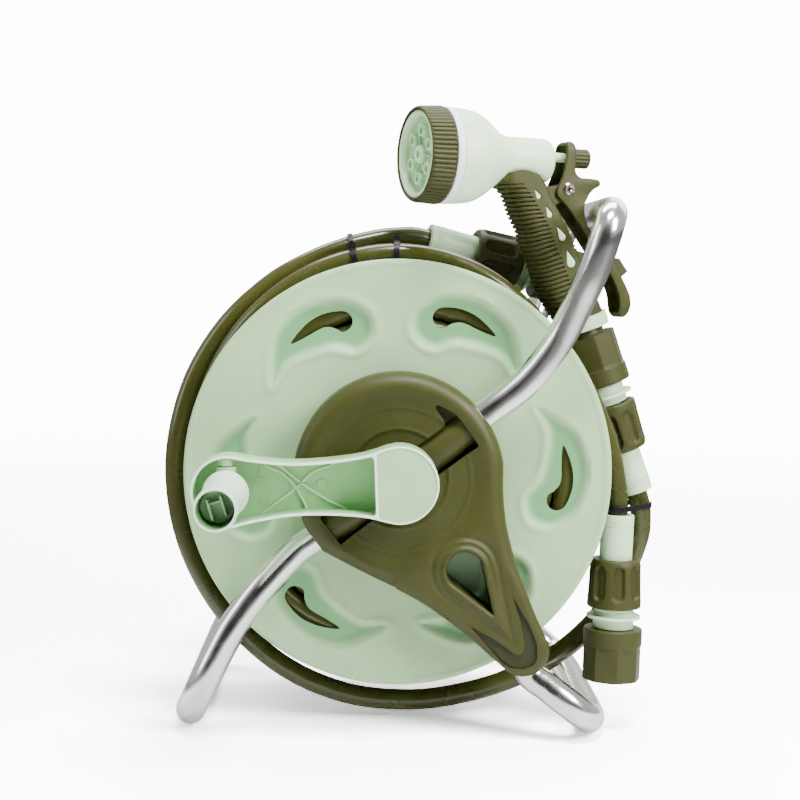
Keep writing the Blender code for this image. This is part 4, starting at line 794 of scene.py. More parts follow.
def wound(radius, per_turn=60):
    """Hose wound in side-by-side turns that each step over to the next in a short stretch."""
    points = []
    for k in range(WINDING_TURNS * per_turn + 1):
        turn, part = divmod(k / per_turn, 1.0)
        step = turn + float(smoothstep((part - 0.90) / 0.10)) * (turn < WINDING_TURNS - 1)
        depth = (min(step, WINDING_TURNS - 1) - (WINDING_TURNS - 1) / 2) * WINDING_PITCH
        points.append(polar(radius, STEP_ANGLE + 360 * k / per_turn, depth))
    return points


def make_drum():
    """Side discs, the outer layer of hose, and two lower layers in place of their plain core."""
    for name, side in (("flange_front", 1), ("flange_rear", -1)):
        add(name, flange_data(side), DISC_MINT_PAINTED_SHADE, DRUM, "drum", "drum_" + name)
    add("hose_winding", tube_data([wound(WINDING_RADIUS)], HOSE_RADIUS, 4), HOSE, DRUM, "drum")
    layers = tube_data([wound(radius) for radius in LAYER_RADII], HOSE_RADIUS, 2)
    add("inner_layers", layers, HOSE, DRUM, "drum", "hose_inner_layers")


# Stand: side covers and tubes
COVER_RADIUS = 0.0664
ARM_TIP, ARM_TIP_RADIUS = (0.0815, -0.1073), 0.0165
FOOT_SOCKET = (Vector((0.0707, -TUBE_PLANE, -0.0978)), Vector((0.0870, -TUBE_PLANE, -0.1235)))
TEAR_CENTRE, TEAR_RADIUS, TEAR_TIP = (0.0427, -0.0560), 0.0115, (0.0612, -0.0835)
CHEVRON = [
    (0.0467, -0.0912), (0.0575, -0.1030), (0.0682, -0.1147), (0.0735, -0.1178), (0.0809, -0.1183),
    (0.0872, -0.1158), (0.0900, -0.1112), (0.0895, -0.1023), (0.0848, -0.0905), (0.0731, -0.0715),
    (0.0788, -0.0880), (0.0819, -0.1025), (0.0814, -0.1070), (0.0790, -0.1094), (0.0752, -0.1082),
    (0.0630, -0.0997)]
WINDOW = [
    (0.0104, 0.0204), (0.0274, 0.0336), (0.0278, 0.0360), (0.0214, 0.0456), (0.0225, 0.0474),
    (0.0284, 0.0448), (0.0347, 0.0409), (0.0400, 0.0353), (0.0449, 0.0286), (0.0493, 0.0219),
    (0.0356, 0.0112), (0.0100, -0.0085), (-0.0176, -0.0281), (-0.0353, -0.0419), (-0.0489, -0.0253)]
OUTER_LIP = (0.0200, (0.0738, -0.1005))
INNER_LIP = (0.0158, (0.0702, -0.0957))
SLEEVE_START = 0.0205


def cover_outline():
    """Round disc with an arm down to the right foot's socket, run anticlockwise."""
    disc = arc((0.0, 0.0), COVER_RADIUS, 9, 226, 62)
    tip = arc(ARM_TIP, ARM_TIP_RADIUS, 228, 378, 24)
    lower = smooth_through([disc[-1], (-0.0185, -0.0613), (0.0144, -0.0770), (0.0436, -0.0969),
                            (0.0640, -0.1140), tip[0]], 5)[1:-1]
    right = smooth_through([tip[-1], (0.0881, -0.0835), (0.0800, -0.0640), (0.0732, -0.0452),
                            (0.0682, -0.0250), (0.0660, -0.0070), disc[0]], 4)[1:-1]
    return disc + [tuple(p) for p in lower] + tip + [tuple(p) for p in right]


def offset_outline(outline, distance):
    """A closed anticlockwise outline moved inwards."""
    count = len(outline)
    result = []
    for i in range(count):
        before = Vector(outline[i]) - Vector(outline[i - 1])
        after = Vector(outline[(i + 1) % count]) - Vector(outline[i])
        normal = (Vector((-before.y, before.x)).normalized() + Vector((-after.y, after.x)).normalized())
        result.append(tuple(Vector(outline[i]) + normal.normalized() * distance))
    return result


def teardrop(centre, radius, tip, steps=20):
    """Circle drawn out to a tip."""
    reach = Vector(tip) - Vector(centre)
    heading = math.degrees(math.atan2(reach.y, reach.x))
    touch = math.degrees(math.acos(min(1.0, radius / reach.length)))
    return arc(centre, radius, heading + touch, heading + 360 - touch, steps) + [tuple(tip)]


def distance_inside(points, outline):
    """depth_inside for many points, in blocks that keep its arrays small."""
    blocks = np.array_split(points, max(1, len(points) // 2000))
    return np.concatenate([depth_inside(block, outline) for block in blocks])


def cover_surface(points):
    """Depth of the cover's front: round rim, stepped dish and double lip round the teardrop."""
    inside = distance_inside(points, cover_outline())
    radius = np.hypot(points[:, 0], points[:, 1])
    arm = smoothstep((-points[:, 1] - 0.0450) / 0.0300) * (points[:, 0] > 0.0)
    edge = 1 - np.clip(inside / (0.0092 - 0.0036 * arm), 0.0, 1.0)
    depth = COVER_FACE - (0.0086 - 0.0040 * arm) * (1 - np.sqrt(1 - edge ** 2))
    depth -= 0.0034 * smoothstep((0.0580 - radius) / 0.0130)
    for ring, drop in ((0.0446, 0.0005), (0.0310, 0.0008)):
        depth -= drop * smoothstep((ring - radius) / 0.0018)
        depth += 0.0004 * np.exp(-((radius - ring - 0.0006) / 0.0010) ** 2)
    for wide, tip in (OUTER_LIP, INNER_LIP):
        lip = distance_inside(points, teardrop(TEAR_CENTRE, wide, tip))
        depth += 0.0014 * smoothstep(lip / 0.0026)
        depth -= 0.0006 * np.exp(-((lip + 0.0008) / 0.0013) ** 2)
    outside = -distance_inside(points, teardrop(TEAR_CENTRE, TEAR_RADIUS, TEAR_TIP))
    hole = 1 - np.clip(outside / 0.0026, 0.0, 1.0)
    return depth - 0.0020 * (1 - np.sqrt(1 - hole ** 2))


def skin_data(outline, holes, lowered, thickness, spacing=0.0008):
    """Shell below the cover's front, inside an outline and outside its holes."""
    corners = np.array(outline)
    across = [np.arange(corners[:, i].min(), corners[:, i].max(), spacing) for i in (0, 1)]
    grid = np.stack(np.meshgrid(*across), axis=-1).reshape(-1, 2)

    def room(points):
        depths = [distance_inside(points, outline)] + [-distance_inside(points, hole) for hole in holes]
        return np.min(depths, axis=0)

    places, edges = [], []
    for loop in [outline] + holes:
        first, loop = len(places), dense(loop, spacing)
        places += [Vector(p) for p in loop]
        edges += [(first + k, first + (k + 1) % len(loop)) for k in range(len(loop))]
    places += [Vector(p) for p in grid[room(grid) > spacing * 0.45]]
    found, _, faces = delaunay_2d_cdt(places, edges, [], 0, 0.0000001)[:3]
    points = np.array([tuple(p) for p in found])
    middles = np.array([points[list(face)].mean(0) for face in faces])
    faces = [face for face, kept in zip(faces, room(middles) > 0.0) if kept]
    depth = cover_surface(points) - lowered
    count = len(points)
    verts = [(x, -d, z) for (x, z), d in zip(points, depth)]
    verts += [(x, -d + thickness, z) for (x, z), d in zip(points, depth)]
    borders = {}
    for face in faces:
        for a, b in zip(face, face[1:] + face[:1]):
            if (b, a) in borders:
                del borders[(b, a)]
            else:
                borders[(a, b)] = True
    sides = [(b, a, a + count, b + count) for a, b in borders]
    back = [tuple(i + count for i in reversed(face)) for face in faces]
    return mesh_data(verts, list(faces) + back + sides, 35)


def make_cover_data():
    """Side cover: its front skin over a wall, a back, a sleeve for each tube and the teardrop's wall."""
    outline = cover_outline()
    tear = teardrop(TEAR_CENTRE, TEAR_RADIUS, TEAR_TIP)
    window = fillet(WINDOW, 0.0012, 3)
    groove = fillet(CHEVRON, 0.0014, 2)
    wall = [offset_outline(outline, 0.0001), offset_outline(outline, 0.0030)]
    around_tear = teardrop(TEAR_CENTRE, TEAR_RADIUS + 0.0024, Vector(TEAR_TIP) * 1.045)
    notch = [(0.0140, 0.0340), (0.0260, 0.0530), (0.0440, 0.0420), (0.0340, 0.0260)]
    parts = [
        (skin_data(outline, [window, tear, groove], 0.0, 0.0032), IDENTITY),
        (plate_data([notch], -0.0945, -0.0925), IDENTITY),
        (plate_data(wall, -0.0940, -COVER_BACK), IDENTITY),
        (plate_data([offset_outline(outline, 0.0029), tear], -0.0788, -0.0770), IDENTITY),
        (plate_data([around_tear, tear], -0.1028, -0.0772), IDENTITY),
        (cylinder_data(0.0168, 0.0765, 0.1042), axis_matrix((0.0, 0.0, 0.0), FORWARD))]
    start, radius = 0.0155, 0.0115
    for heading, reach in ((SLEEVE_HEADING, 0.0560), (-SLEEVE_HEADING, 0.0585)):
        length = reach - start
        sleeve = fillet([(0.0, length), (radius, length), (radius, 0.0), (0.0, 0.0)], 0.0008, 3, False)
        parts.append((revolved(sleeve, 64, closed=False),
                      axis_matrix(FORWARD * TUBE_PLANE + heading * start, heading)))
    return joined(parts, 35)


def make_covers():
    """Front cover and its groove's floor, the floor in a darker olive as painted shade, and both mirrored
    at the rear.
    """
    groove = skin_data(offset_outline(fillet(CHEVRON, 0.0014, 2), -0.0004), [], 0.0018, 0.0012)
    for name, data, material in (("groove", groove, OLIVE_PAINTED_GROOVE_SHADE), ("cover", make_cover_data(), OLIVE)):
        rear = data.copy()
        rear.transform(REAR)
        for end, mesh in (("front", data), ("rear", settle(rear, 35))):
            add(f"{name}_{end}", mesh, material, stands_for=f"side_cover_{end}" if name == "cover" else "")


def make_tubes():
    """Handle and two feet, each one bent tube, its far half the mirror of its near half."""
    along, plane = SLEEVE_HEADING, FORWARD * TUBE_PLANE
    floor = TUBE_DIAMETER / 2 - AXIS_HEIGHT
    reach, rise, foot = 0.1275, 0.1700, 0.1300
    handle = [
        plane + along * SLEEVE_START, plane + along * 0.0680, (0.0736, -0.0930, 0.0577),
        (0.0876, -0.0970, 0.0742), (0.0987, -0.1015, 0.0924), (0.1073, -0.1090, 0.1124),
        (0.1151, -0.1180, 0.1334), (0.1202, -0.1220, 0.1514), (0.1238, -0.1185, 0.1630),
        (0.1265, -0.1060, 0.1688), (reach, -0.0880, rise), (reach, -0.0440, rise), (reach, 0.0, rise)]
    left = [
        plane - along * SLEEVE_START, plane - along * 0.0700, plane - along * 0.0800,
        (-0.0757, -0.0915, -0.0621), (-0.0868, -0.0945, -0.0747), (-0.1002, -0.0980, -0.0937),
        (-0.1077, -0.0995, -0.1072), (-0.1187, -0.1000, -0.1303), (-0.1252, -0.0940, -0.1449),
        (-0.1290, -0.0800, -0.1540), (-foot, -0.0620, floor), (-foot, -0.0310, floor), (-foot, 0.0, floor)]
    right = [
        FOOT_SOCKET[0], FOOT_SOCKET[1], (0.0980, -0.0925, -0.1315), (0.1054, -0.0950, -0.1368),
        (0.1130, -0.0960, -0.1422), (0.1202, -0.0935, -0.1480), (0.1260, -0.0840, -0.1532),
        (0.1293, -0.0680, -0.1560), (foot, -0.0500, floor), (foot, -0.0250, floor), (foot, 0.0, floor)]
    for node, points in (("handle_tube", handle), ("left_foot_tube", left), ("right_foot_tube", right)):
        start, straight_end = Vector(points[0]), Vector(points[1])
        near = [start] + smooth_through(points[1:], 8, (straight_end - start).normalized())
        path = near + [Vector((p.x, -p.y, p.z)) for p in reversed(near[:-1])]
        add(node, tube_data([path], TUBE_RADIUS, 12), STEEL)


# Crank
RIBS = [
    [(-0.0835, 0.0155), (-0.0807, 0.0120), (-0.0715, 0.0075), (-0.0644, -0.0009), (-0.0604, -0.0082),
     (-0.0578, -0.0144)],
    [(-0.0760, 0.0150), (-0.0721, 0.0116), (-0.0604, 0.0014), (-0.0461, -0.0089), (-0.0329, -0.0161)],
    [(-0.0858, -0.0167), (-0.0644, -0.0020), (-0.0533, 0.0077), (-0.0421, 0.0113), (-0.0370, 0.0145)]]
HINGE_BORE = 0.0023
EJECTOR_MARKS = [(-0.0844, 0.0087), (-0.0842, -0.0085), (-0.0222, 0.0107), (-0.0214, -0.0107)]


def crank_outline():
    """Outline of the crank arm, hub at the origin and grip end towards -X."""
    hub = arc((0.0, 0.0), 0.0240, -105, 105, 56)
    top = smooth_through([(-0.0062, 0.0232), (-0.0220, 0.0190), (-0.0420, 0.0168), (-0.0640, 0.0163),
                          (-0.0840, 0.0185), (-0.0985, 0.0212)], 6)[1:-1]
    end = arc((-CRANK_LENGTH, 0.0), 0.0222, 80, 280, 50)
    bottom = [(p[0], -p[1]) for p in reversed(top)]
    return hub + [tuple(p) for p in top] + end + [tuple(p) for p in bottom]


def strip(points, width):
    """Outline of a band of even width along points of a plane."""
    left, right = [], []
    for i, here in enumerate(points):
        before = Vector(points[max(i - 1, 0)])
        after = Vector(points[min(i + 1, len(points) - 1)])
        across = (after - before).normalized()
        normal = Vector((-across.y, across.x)) * width / 2
        left.append(tuple(Vector(here) + normal))
        right.append(tuple(Vector(here) - normal))
    return left + right[::-1]


def make_crank_arm():
    """Arm with its pocket, ribs and moulding marks, a hub recess and the grip's hinge."""
    outline = crank_outline()
    floor = -CRANK_BACK - 0.0020
    pocket = [p for p in offset_outline(outline, 0.0018) if p[0] < -0.0215]
    top, bottom = [(-0.0150, pocket[end][1] + rise) for end, rise in ((0, 0.0011), (-1, -0.0011))]
    pocket = fillet([top] + pocket + [bottom], 0.0030, 6)
    hub = fillet([p for p in offset_outline(outline, 0.0013) if p[0] > -0.0141], 0.0014, 3)
    steps = [cut(plate_data([pocket], -CRANK_FRONT - 0.0040, floor)),
             cut(plate_data([hub], -CRANK_FRONT - 0.0040, -CRANK_FRONT + 0.0005))]
    for x, z in EJECTOR_MARKS:
        ring = revolved([(0.0033, 0.0), (0.0033, 0.0006), (0.0029, 0.0006), (0.0029, 0.0)], 40)
        steps.append(cut(ring, axis_matrix((x, floor + 0.0002, z), FORWARD)))
    boss = fillet([(0.0, 0.0012), (0.0034, 0.0012), (0.0034, -0.0005), (0.0, -0.0005)], 0.0004, 3, False)
    steps.append(merge(revolved(boss, 48, closed=False), axis_matrix((-0.0482, floor, 0.0), FORWARD)))
    hinge = Vector((-CRANK_LENGTH, -HINGE_DEPTH, 0.0))
    for side in (1, -1):
        steps.append(merge(cylinder_data(0.0046, 0.0156, 0.0214, 40), axis_matrix(hinge, (0.0, 0.0, side))))
    steps.append(cut(cylinder_data(HINGE_BORE, -0.0300, 0.0300, 32), axis_matrix(hinge, (0.0, 0.0, 1.0))))
    arm = plate_data([outline], -CRANK_FRONT, -CRANK_BACK, 0.0008, 3)
    add("crank_arm", apply_booleans(arm, steps), CRANK_MINT_PAINTED_LIGHT, DRUM, "drum")
    bands = [strip([tuple(p) for p in smooth_through(rib, 8)], 0.0011) for rib in RIBS]
    ribs = [(plate_data([band], floor - 0.0017, floor + 0.0005), IDENTITY) for band in bands]
    add("crank_ribs", joined(ribs), PALE, DRUM, "drum", "")
    return DRUM @ axis_matrix(hinge, FORWARD)


def make_crank_grip(outward):
    """Turning sleeve over its spindle, from the hinge outward."""
    start, end = 0.0132, 0.0852
    head = end - 0.0180
    sleeve = fillet([(0.0109, end), (0.0123, end), (0.0126, end - 0.0022), (0.0124, start + 0.0300),
                     (0.0131, start + 0.0080), (0.0142, start), (0.0092, start), (0.0092, head),
                     (0.0106, head)], 0.0005, 3)
    add("grip_sleeve", revolved(dense(sleeve, 0.0030), 96), GRIP_MINT_PAINTED_SHADE, outward, "grip")
    spindle = revolved([
        (0.0, head + 0.0010), (0.0096, head + 0.0010), (0.0099, head + 0.0003), (0.0088, head + 0.0003),
        (0.0088, start - 0.0010), (0.0112, start - 0.0010), (0.0112, 0.0040), (0.0, 0.0040)],
        64, closed=False)
    tilt = Matrix.Rotation(math.radians(14), 4, "Z")
    catch, bridge = (0.0012, 0.0120, 0.0090), (0.0086, 0.0012, 0.0070)
    steps = []
    for x, y, size in ((0.0040, 0.0, catch), (-0.0040, 0.0, catch), (0.0, 0.0030, bridge)):
        place = Matrix.Translation((x, y, head + size[2] / 2 - 0.0004))
        steps.append(merge(box_data(size), tilt @ place))
    across = Matrix.Rotation(math.pi / 2, 4, "X")
    steps.append(merge(cylinder_data(0.0062, -0.0150, 0.0150, 40), across))
    steps.append(cut(cylinder_data(HINGE_BORE, -0.0300, 0.0300, 32), across))
    add("grip_spindle", apply_booleans(spindle, steps), MINT, outward, "grip_mount")


# Spray gun
PIVOT = Vector((-0.0209, 0.0, 0.1854))
NOZZLE_HEIGHT, STEM_HEIGHT = 0.2028, 0.2056
RING_FRONT, RING_BACK, BAND_BACK, NECK_BACK = 0.1260, 0.1095, 0.1040, 0.0286
BOWL_RADIUS, NECK_RADIUS, NECK_END = 0.0302, 0.0143, 0.0326
BODY_BORE, BAND_BORE = 0.0215, 0.0262
OPENING, RING_RADIUS = 0.0272, 0.0310
GRIP_HALF = 0.0145
GRIP_LOW, GRIP_HIGH = 0.0940, 0.1945
LEVER_OUTLINE = [
    (-0.0227, 0.2122), (-0.0230, 0.2086), (-0.0236, 0.2015), (-0.0252, 0.1943), (-0.0274, 0.1886),
    (-0.0294, 0.1839), (-0.0288, 0.1804), (-0.0265, 0.1784), (-0.0211, 0.1733), (-0.0151, 0.1664),
    (-0.0100, 0.1600), (-0.0010, 0.1480), (0.0070, 0.1375), (0.0135, 0.1290), (0.0185, 0.1190),
    (0.0200, 0.1120), (0.0204, 0.1075), (0.0214, 0.1046), (0.0234, 0.1032), (0.0257, 0.1040),
    (0.0273, 0.1068), (0.0281, 0.1110), (0.0278, 0.1150), (0.0264, 0.1196), (0.0199, 0.1308),
    (0.0161, 0.1357), (0.0060, 0.1480), (-0.0044, 0.1600), (-0.0074, 0.1652), (-0.0087, 0.1705),
    (-0.0087, 0.1760), (-0.0071, 0.1796), (-0.0052, 0.1832), (-0.0020, 0.1862), (0.0020, 0.1885),
    (0.0006, 0.1921), (-0.0072, 0.1928), (-0.0121, 0.1930), (-0.0152, 0.1949), (-0.0165, 0.1984),
    (-0.0165, 0.2090), (-0.0166, 0.2125), (-0.0177, 0.2150), (-0.0197, 0.2160), (-0.0216, 0.2149)]
LEVER_CHANNEL = [
    (-0.0330, 0.2130), (-0.0380, 0.1850), (-0.0200, 0.1640), (0.0000, 0.1330), (0.0120, 0.1080),
    (0.0208, 0.1060), (0.0236, 0.1076), (0.0256, 0.1122), (0.0244, 0.1188), (0.0184, 0.1296),
    (0.0146, 0.1343), (0.0045, 0.1466), (-0.0060, 0.1588), (-0.0092, 0.1642), (-0.0106, 0.1700),
    (-0.0106, 0.1765), (-0.0130, 0.1850), (-0.0162, 0.1940), (-0.0184, 0.1990), (-0.0184, 0.2085),
    (-0.0200, 0.2118), (-0.0216, 0.2134)]
INLAYS = [((-0.0455, 0.1793), 0.0016, (-0.0480, 0.1834)), ((-0.0371, 0.1680), 0.0019, (-0.0398, 0.1734)),
          ((-0.0273, 0.1543), 0.0024, (-0.0315, 0.1607)), ((-0.0204, 0.1379), 0.0030, (-0.0238, 0.1461))]
GRIP_LEFT = [(-0.0160, 0.0940), (-0.0240, 0.1030), (-0.0310, 0.1120), (-0.0381, 0.1240), (-0.0430, 0.1380),
             (-0.0487, 0.1475), (-0.0515, 0.1573), (-0.0577, 0.1680), (-0.0630, 0.1802), (-0.0707, 0.1872),
             (-0.0700, 0.1945)]
GRIP_RIGHT = [(0.0130, 0.0940), (0.0065, 0.1060), (-0.0018, 0.1220), (-0.0124, 0.1424), (-0.0190, 0.1545),
              (-0.0268, 0.1677), (-0.0341, 0.1784), (-0.0396, 0.1900), (-0.0424, 0.1945)]
GRIP_PITCH = 0.0028
RIB_SLANT = math.tan(math.radians(16))
FRONT_POWER, BACK_POWER = 3.4, 7.0
NOZZLE = axis_matrix((0.0, 0.0, NOZZLE_HEIGHT), (-1.0, 0.0, 0.0))
STEM_AXIS = axis_matrix((0.0, 0.0, STEM_HEIGHT), (-1.0, 0.0, 0.0))
PIVOT_AXIS = axis_matrix(PIVOT, (0.0, 1.0, 0.0))
PIVOT_BORE, STEM_BORE, LEVER_STEM_BORE = 0.0025, 0.0034, 0.0039
LOCK_PLACE = Matrix.Translation((0.0209, 0.0, 0.1356)) @ Matrix.Rotation(math.radians(-37.8), 4, "Y")


def edge_at(side, height):
    """Place of the grip's front or back edge at a height."""
    heights = np.array([z for _, z in side])
    return float(np.interp(height, heights, np.array([x for x, _ in side])))


def smooth_edge(side):
    """Smooth curve through a side's points, in order of height."""
    return sorted(((float(p[0]), float(p[1])) for p in smooth_through([Vector(p) for p in side], 12)),
                  key=lambda p: p[1])


def grip_half_at(x, height, left, right):
    """Half thickness of the grip at a place on its side."""
    low, high = edge_at(left, height), edge_at(right, height)
    share = max(-1.0, min(1.0, 2 * (x - low) / (high - low) - 1))
    power = BACK_POWER if share > 0 else FRONT_POWER
    return GRIP_HALF * (1 - abs(share) ** power) ** (1 / power)


def grip_data():
    """The grip as a stack of rounded slices, ribbed over its front and on its lower back."""
    left, right = smooth_edge(GRIP_LEFT), smooth_edge(GRIP_RIGHT)
    steps, step_height = 144, 0.00028
    count = round((GRIP_HIGH - GRIP_LOW) / step_height)
    angles = np.arange(steps) * 2 * math.pi / steps
    across = -np.cos(angles)
    power = np.where(across > 0, BACK_POWER, FRONT_POWER)
    out = np.sign(np.sin(angles)) * (1 - np.abs(across) ** power) ** (1 / power)
    verts = []
    for k in range(count + 1):
        z = GRIP_LOW + (GRIP_HIGH - GRIP_LOW) * k / count
        low, high = edge_at(left, z), edge_at(right, z)
        middle, half = (low + high) / 2, (high - low) / 2
        end = 0.0012 * (smoothstep((z - GRIP_LOW) / 0.0030) - 1)
        slant = RIB_SLANT * (1 - 0.85 * smoothstep((z - 0.1450) / 0.0400))
        level = z - (across + 1) * half * slant
        phase = (level / GRIP_PITCH) % 1.0
        groove = smoothstep((0.22 - np.abs(phase - 0.5)) / 0.10)
        reach = 0.06 - 0.20 * smoothstep((z - 0.1620) / 0.0260)
        front = smoothstep((reach - across) / 0.08) * (0.1010 < z) * (level < 0.1862)
        back = smoothstep((across - 0.80) / 0.06) * (0.1180 < z < 0.1530)
        depth = 0.0014 * groove * np.maximum(front, back)
        crown = z + (0.0010 - 0.0040 * across ** 2) * smoothstep((z - 0.1850) / 0.0095)
        verts += [(middle + (half + end - d) * a, (GRIP_HALF + end - d) * o, top)
                  for a, o, d, top in zip(across, out, depth, crown)]
    faces = ring_faces(count + 1, steps, False)
    faces += [tuple(range(steps)), tuple(count * steps + k for k in range(steps))]
    return mesh_data(verts, faces, 40), left, right


def fluted(count, depth, low, outer):
    """Shallow flutes round a turned piece, above a height and near its outer radius."""
    def shape(r, h, angles):
        if r < outer or h < low:
            return np.full(len(angles), r)
        wave = np.abs(np.cos(angles * count / 2)) ** 0.5
        return r - depth * (1 - wave)
    return shape


def make_nozzle():
    """Body, band, selector ring and spray face, turned about the nozzle's axis."""
    body = fillet([
        (0.0, RING_BACK + 0.0040), (BODY_BORE, RING_BACK + 0.0040), (BODY_BORE, RING_BACK - GAP),
        (BAND_BORE, RING_BACK - GAP), (BAND_BORE, BAND_BACK - GAP), (BOWL_RADIUS, BAND_BACK - GAP)],
        0.0004, 2, False)
    body += [tuple(p) for p in smooth_through([
        Vector((BOWL_RADIUS, BAND_BACK - 0.0008)), (BOWL_RADIUS - 0.0004, 0.0950), (0.0286, 0.0880),
        (0.0254, 0.0815), (0.0208, 0.0752), (0.0167, 0.0700), (NECK_RADIUS + 0.0002, 0.0640),
        (NECK_RADIUS, 0.0570), (NECK_RADIUS, 0.0480)], 6)]
    body += fillet([(NECK_RADIUS, 0.0470), (NECK_RADIUS, NECK_END), (0.0, NECK_END)], 0.0050, 6, False)[1:]
    hole = cut(cylinder_data(STEM_BORE, 0.0200, NECK_BACK + 0.0180, 32), NOZZLE.inverted() @ STEM_AXIS)
    shell = apply_booleans(revolved(body, 128, closed=False), [hole], 40)
    add("gun_body", shell, MINT_GLOSS, GUN @ NOZZLE)
    band = fillet([(0.0265, RING_BACK - 0.0006), (BOWL_RADIUS + 0.0002, RING_BACK - 0.0006),
                   (BOWL_RADIUS + 0.0002, BAND_BACK), (0.0265, BAND_BACK)], 0.0003, 2)
    add("label_band", revolved(band, 128), BAND_WHITE, GUN @ NOZZLE)
    ring = fillet([
        (OPENING + GAP, RING_FRONT - 0.0008), (OPENING + 0.0008, RING_FRONT),
        (OPENING + 0.0018, RING_FRONT), (RING_RADIUS - 0.0009, RING_FRONT - 0.0016),
        (RING_RADIUS, RING_BACK + 0.0012), (RING_RADIUS - 0.0008, RING_BACK),
        (OPENING + GAP, RING_BACK)], 0.0005, 3)
    ribbed = revolved(dense(ring, 0.0008), 720, fluted(64, 0.0014, 0.0, 0.0297), sharp=60)
    add("selector_ring", ribbed, OLIVE, GUN @ NOZZLE, "selector")
    front = RING_FRONT - 0.0064
    face = fillet([
        (0.0, front), (OPENING - 0.0040, front), (OPENING - 0.0024, RING_FRONT - 0.0010),
        (OPENING - 0.0013, RING_FRONT - 0.0004), (OPENING, RING_FRONT - 0.0010),
        (OPENING, RING_BACK + 0.0044), (0.0, RING_BACK + 0.0044)], 0.0005, 3, False)
    blank = revolved(face, 96, closed=False)
    steps = []
    for k in range(6):
        angle = math.radians(60 * k + 22)
        place = Matrix.Translation((0.0150 * math.cos(angle), 0.0150 * math.sin(angle), 0.0))
        cup = fillet([(0.0027, front + 0.0036), (0.0038, front + 0.0036), (0.0048, front - 0.0004),
                      (0.0027, front - 0.0004)], 0.0004, 2)
        steps.append(merge(revolved(cup, 32), place))
        steps.append(cut(cylinder_data(0.0012, front - 0.0030, front + 0.0020, 16), place))
        turn = Matrix.Rotation(angle + math.radians(30), 4, "Z")
        fin = box_data((0.0075, 0.0010, 0.0022))
        steps.append(merge(fin, turn @ Matrix.Translation((0.0100, 0.0, front + 0.0007))))
    centre = fillet([(0.0026, front + 0.0044), (0.0050, front + 0.0044), (0.0066, front - 0.0004),
                     (0.0026, front - 0.0004)], 0.0005, 2)
    steps += [merge(revolved(centre, 40)), cut(cylinder_data(0.0014, front - 0.0036, front + 0.0030, 20))]
    add("spray_face", apply_booleans(blank, steps), FACE_MINT_PAINTED_SHADE, GUN @ NOZZLE, "selector")


def make_grip():
    """Ribbed grip with its lug and inlays, and the collar and thread below it."""
    grip, left, right = grip_data()
    lug = [(-0.0440, 0.1862), (-0.0400, 0.1700), (-0.0285, 0.1745)]
    lug += arc((PIVOT.x, PIVOT.z), 0.0050, -75, 60, 16) + [(-0.0310, 0.1864)]
    neck = revolved([
        (0.0, 0.1200), (BOWL_RADIUS + GAP, 0.1200), (BOWL_RADIUS + GAP, 0.0940), (0.0288, 0.0880),
        (0.0262, 0.0826), (0.0209, 0.0750), (0.0169, 0.0700), (NECK_RADIUS + GAP, 0.0640),
        (NECK_RADIUS + GAP, NECK_END - 0.0004), (0.0, NECK_END - 0.0004)], 96, closed=False)
    to_gun = (REEL.inverted() @ GUN).inverted()
    base = axis_matrix(to_gun @ GUN_CONNECTOR[0],
                       to_gun.to_3x3() @ (GUN_CONNECTOR[0] - GUN_CONNECTOR[1]).normalized())
    steps = [merge(plate_data([lug], -0.0065, 0.0065, 0.0006)), cut(neck, NOZZLE),
             cut(cylinder_data(PIVOT_BORE, -0.0200, 0.0200, 32), PIVOT_AXIS),
             cut(cylinder_data(0.0400, -0.0300, 0.0135, 64), base)]
    for i, (centre, radius, tip) in enumerate(INLAYS):
        share = 1 + GAP / radius
        wide_tip = Vector(centre) + (Vector(tip) - Vector(centre)) * share
        steps.append(cut(plate_data([teardrop(centre, radius * share, wide_tip)], -0.0300, 0.0300)))
        half = grip_half_at(centre[0], centre[1], left, right) - 0.0002
        inlay = plate_data([teardrop(centre, radius, tip)], -half, half, 0.0004, 2)
        add(f"grip_inlay_{i + 1}", inlay, PALE, GUN)
    add("gun_grip", apply_booleans(grip, steps, 40), OLIVE, GUN)
    collar = fillet([(0.0105, 0.0132), (0.0170, 0.0132), (0.0170, 0.0042), (0.0105, 0.0042)], 0.0012, 4)
    add("base_collar", revolved(collar, 96), PALE, GUN @ base, stands_for="gun_base_collar")
    thread = fillet([(0.0102, 0.0129), (0.0102, 0.0039), (0.0120, 0.0039), (0.0120, 0.0006), (0.0126, 0.0),
                     (0.0126, -0.0090), (0.0060, -0.0090), (0.0060, 0.0129)], 0.0003, 2)
    add("inlet_thread", revolved(thread, 80), OLIVE, GUN @ base, stands_for="gun_inlet_thread")


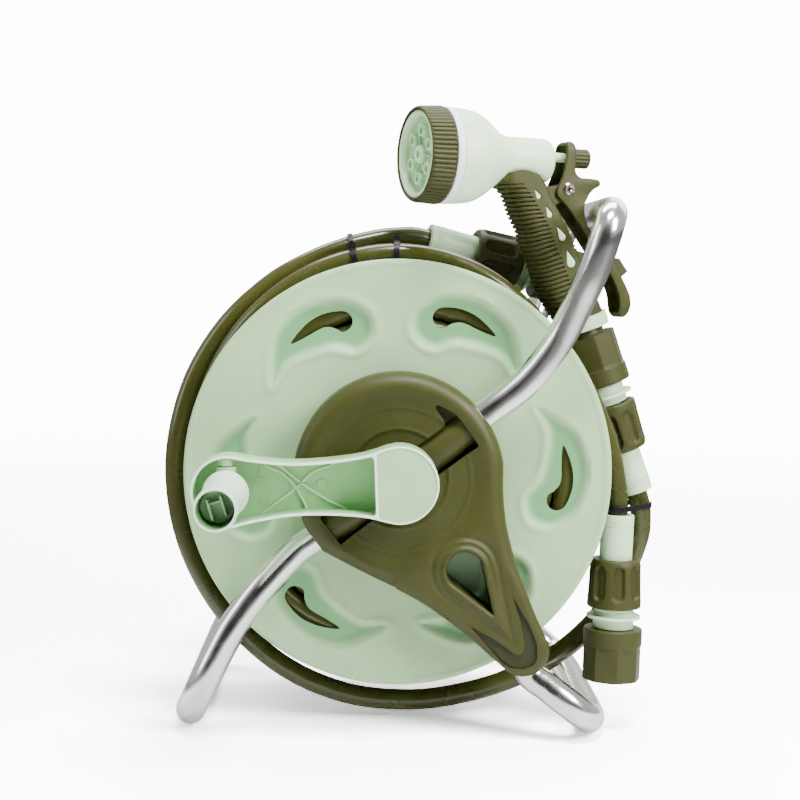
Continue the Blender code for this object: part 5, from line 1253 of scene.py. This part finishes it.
def make_lever():
    """Trigger lever with its pin and locking slide, and the valve stem with its flow nut."""
    lever = apply_booleans(plate_data([smooth_loop(LEVER_OUTLINE, 3)], -0.0090, 0.0090, 0.0008, 3), [
        cut(plate_data([fillet(LEVER_CHANNEL, 0.0016, 3)], -0.0072, 0.0072)),
        cut(cylinder_data(PIVOT_BORE, -0.0200, 0.0200, 32), PIVOT_AXIS),
        cut(cylinder_data(LEVER_STEM_BORE, 0.0, 0.0300, 32), STEM_AXIS)], 40)
    for point in lever.vertices:
        beyond = max((0.1130 - point.co.z) / 0.0100, (point.co.z - 0.2100) / 0.0064, 0.0)
        point.co.y *= math.sqrt(1 - 0.65 * min(beyond, 1.0) ** 2)
    add("trigger_lever", lever, OLIVE, GUN, "trigger")
    pin = []
    for side in (1, -1):
        pin += [(0.0012, side * 0.0085), (0.0012, side * 0.0098), (0.0018, side * 0.0104),
                (0.0031, side * 0.0104), (0.0039, side * 0.0098), (0.0040, side * 0.0093),
                (0.0022, side * 0.0093)][::side]
    add("lever_pin", revolved(pin, 48), PIN_STEEL, GUN @ PIVOT_AXIS)
    stem_end = NECK_BACK + 0.0150
    stem = fillet([(0.0, stem_end), (0.0031, stem_end), (0.0031, 0.0052), (0.0, 0.0052)], 0.0005, 3, False)
    add("valve_stem", revolved(stem, 40, closed=False), PALE, GUN @ STEM_AXIS, "valve")
    nut = fillet([(0.0034, 0.0157), (0.0064, 0.0157), (0.0064, 0.0042), (0.0034, 0.0042)], 0.0007, 3)
    knurled = revolved(dense(nut, 0.0006), 160, fluted(14, 0.0009, 0.0048, 0.0056), sharp=60)
    add("flow_nut", knurled, OLIVE, GUN @ STEM_AXIS, "flow_adjuster")
    grooves = [((0.0004, 0.0007, 0.0100), (0.0034, -0.0036 + 0.0018 * k, 0.0)) for k in range(5)]
    grooves += [((0.0004, 0.0084, 0.0007), (0.0034, 0.0, -0.0045 + 0.0018 * k)) for k in range(6)]
    notches = [cut(box_data(size), Matrix.Translation(place)) for size, place in grooves]
    slide = apply_booleans(box_data((0.0068, 0.0100, 0.0108)), notches)
    add("lock_slide", slide, OLIVE, GUN @ LOCK_PLACE, "lever_lock")


# Pieces kept from the solids

KEPT = {
    "drum_core": OLIVE, "crank_shaft": MINT, "drum_water_pipe": OLIVE, "inlet_elbow": OLIVE,
    "inlet_seal": RUBBER, "inlet_nipple": MINT, "grip_hinge_pin": STEEL}


def finish_kept_nodes():
    """Materials for the solids that show as they are."""
    for node, material in KEPT.items():
        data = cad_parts[node].data
        data.materials.clear()
        data.materials.append(material)


set_camera()
set_studio()
make_cords()
make_drum()
make_covers()
make_tubes()
make_crank_grip(make_crank_arm())
make_nozzle()
make_grip()
make_lever()
finish_kept_nodes()
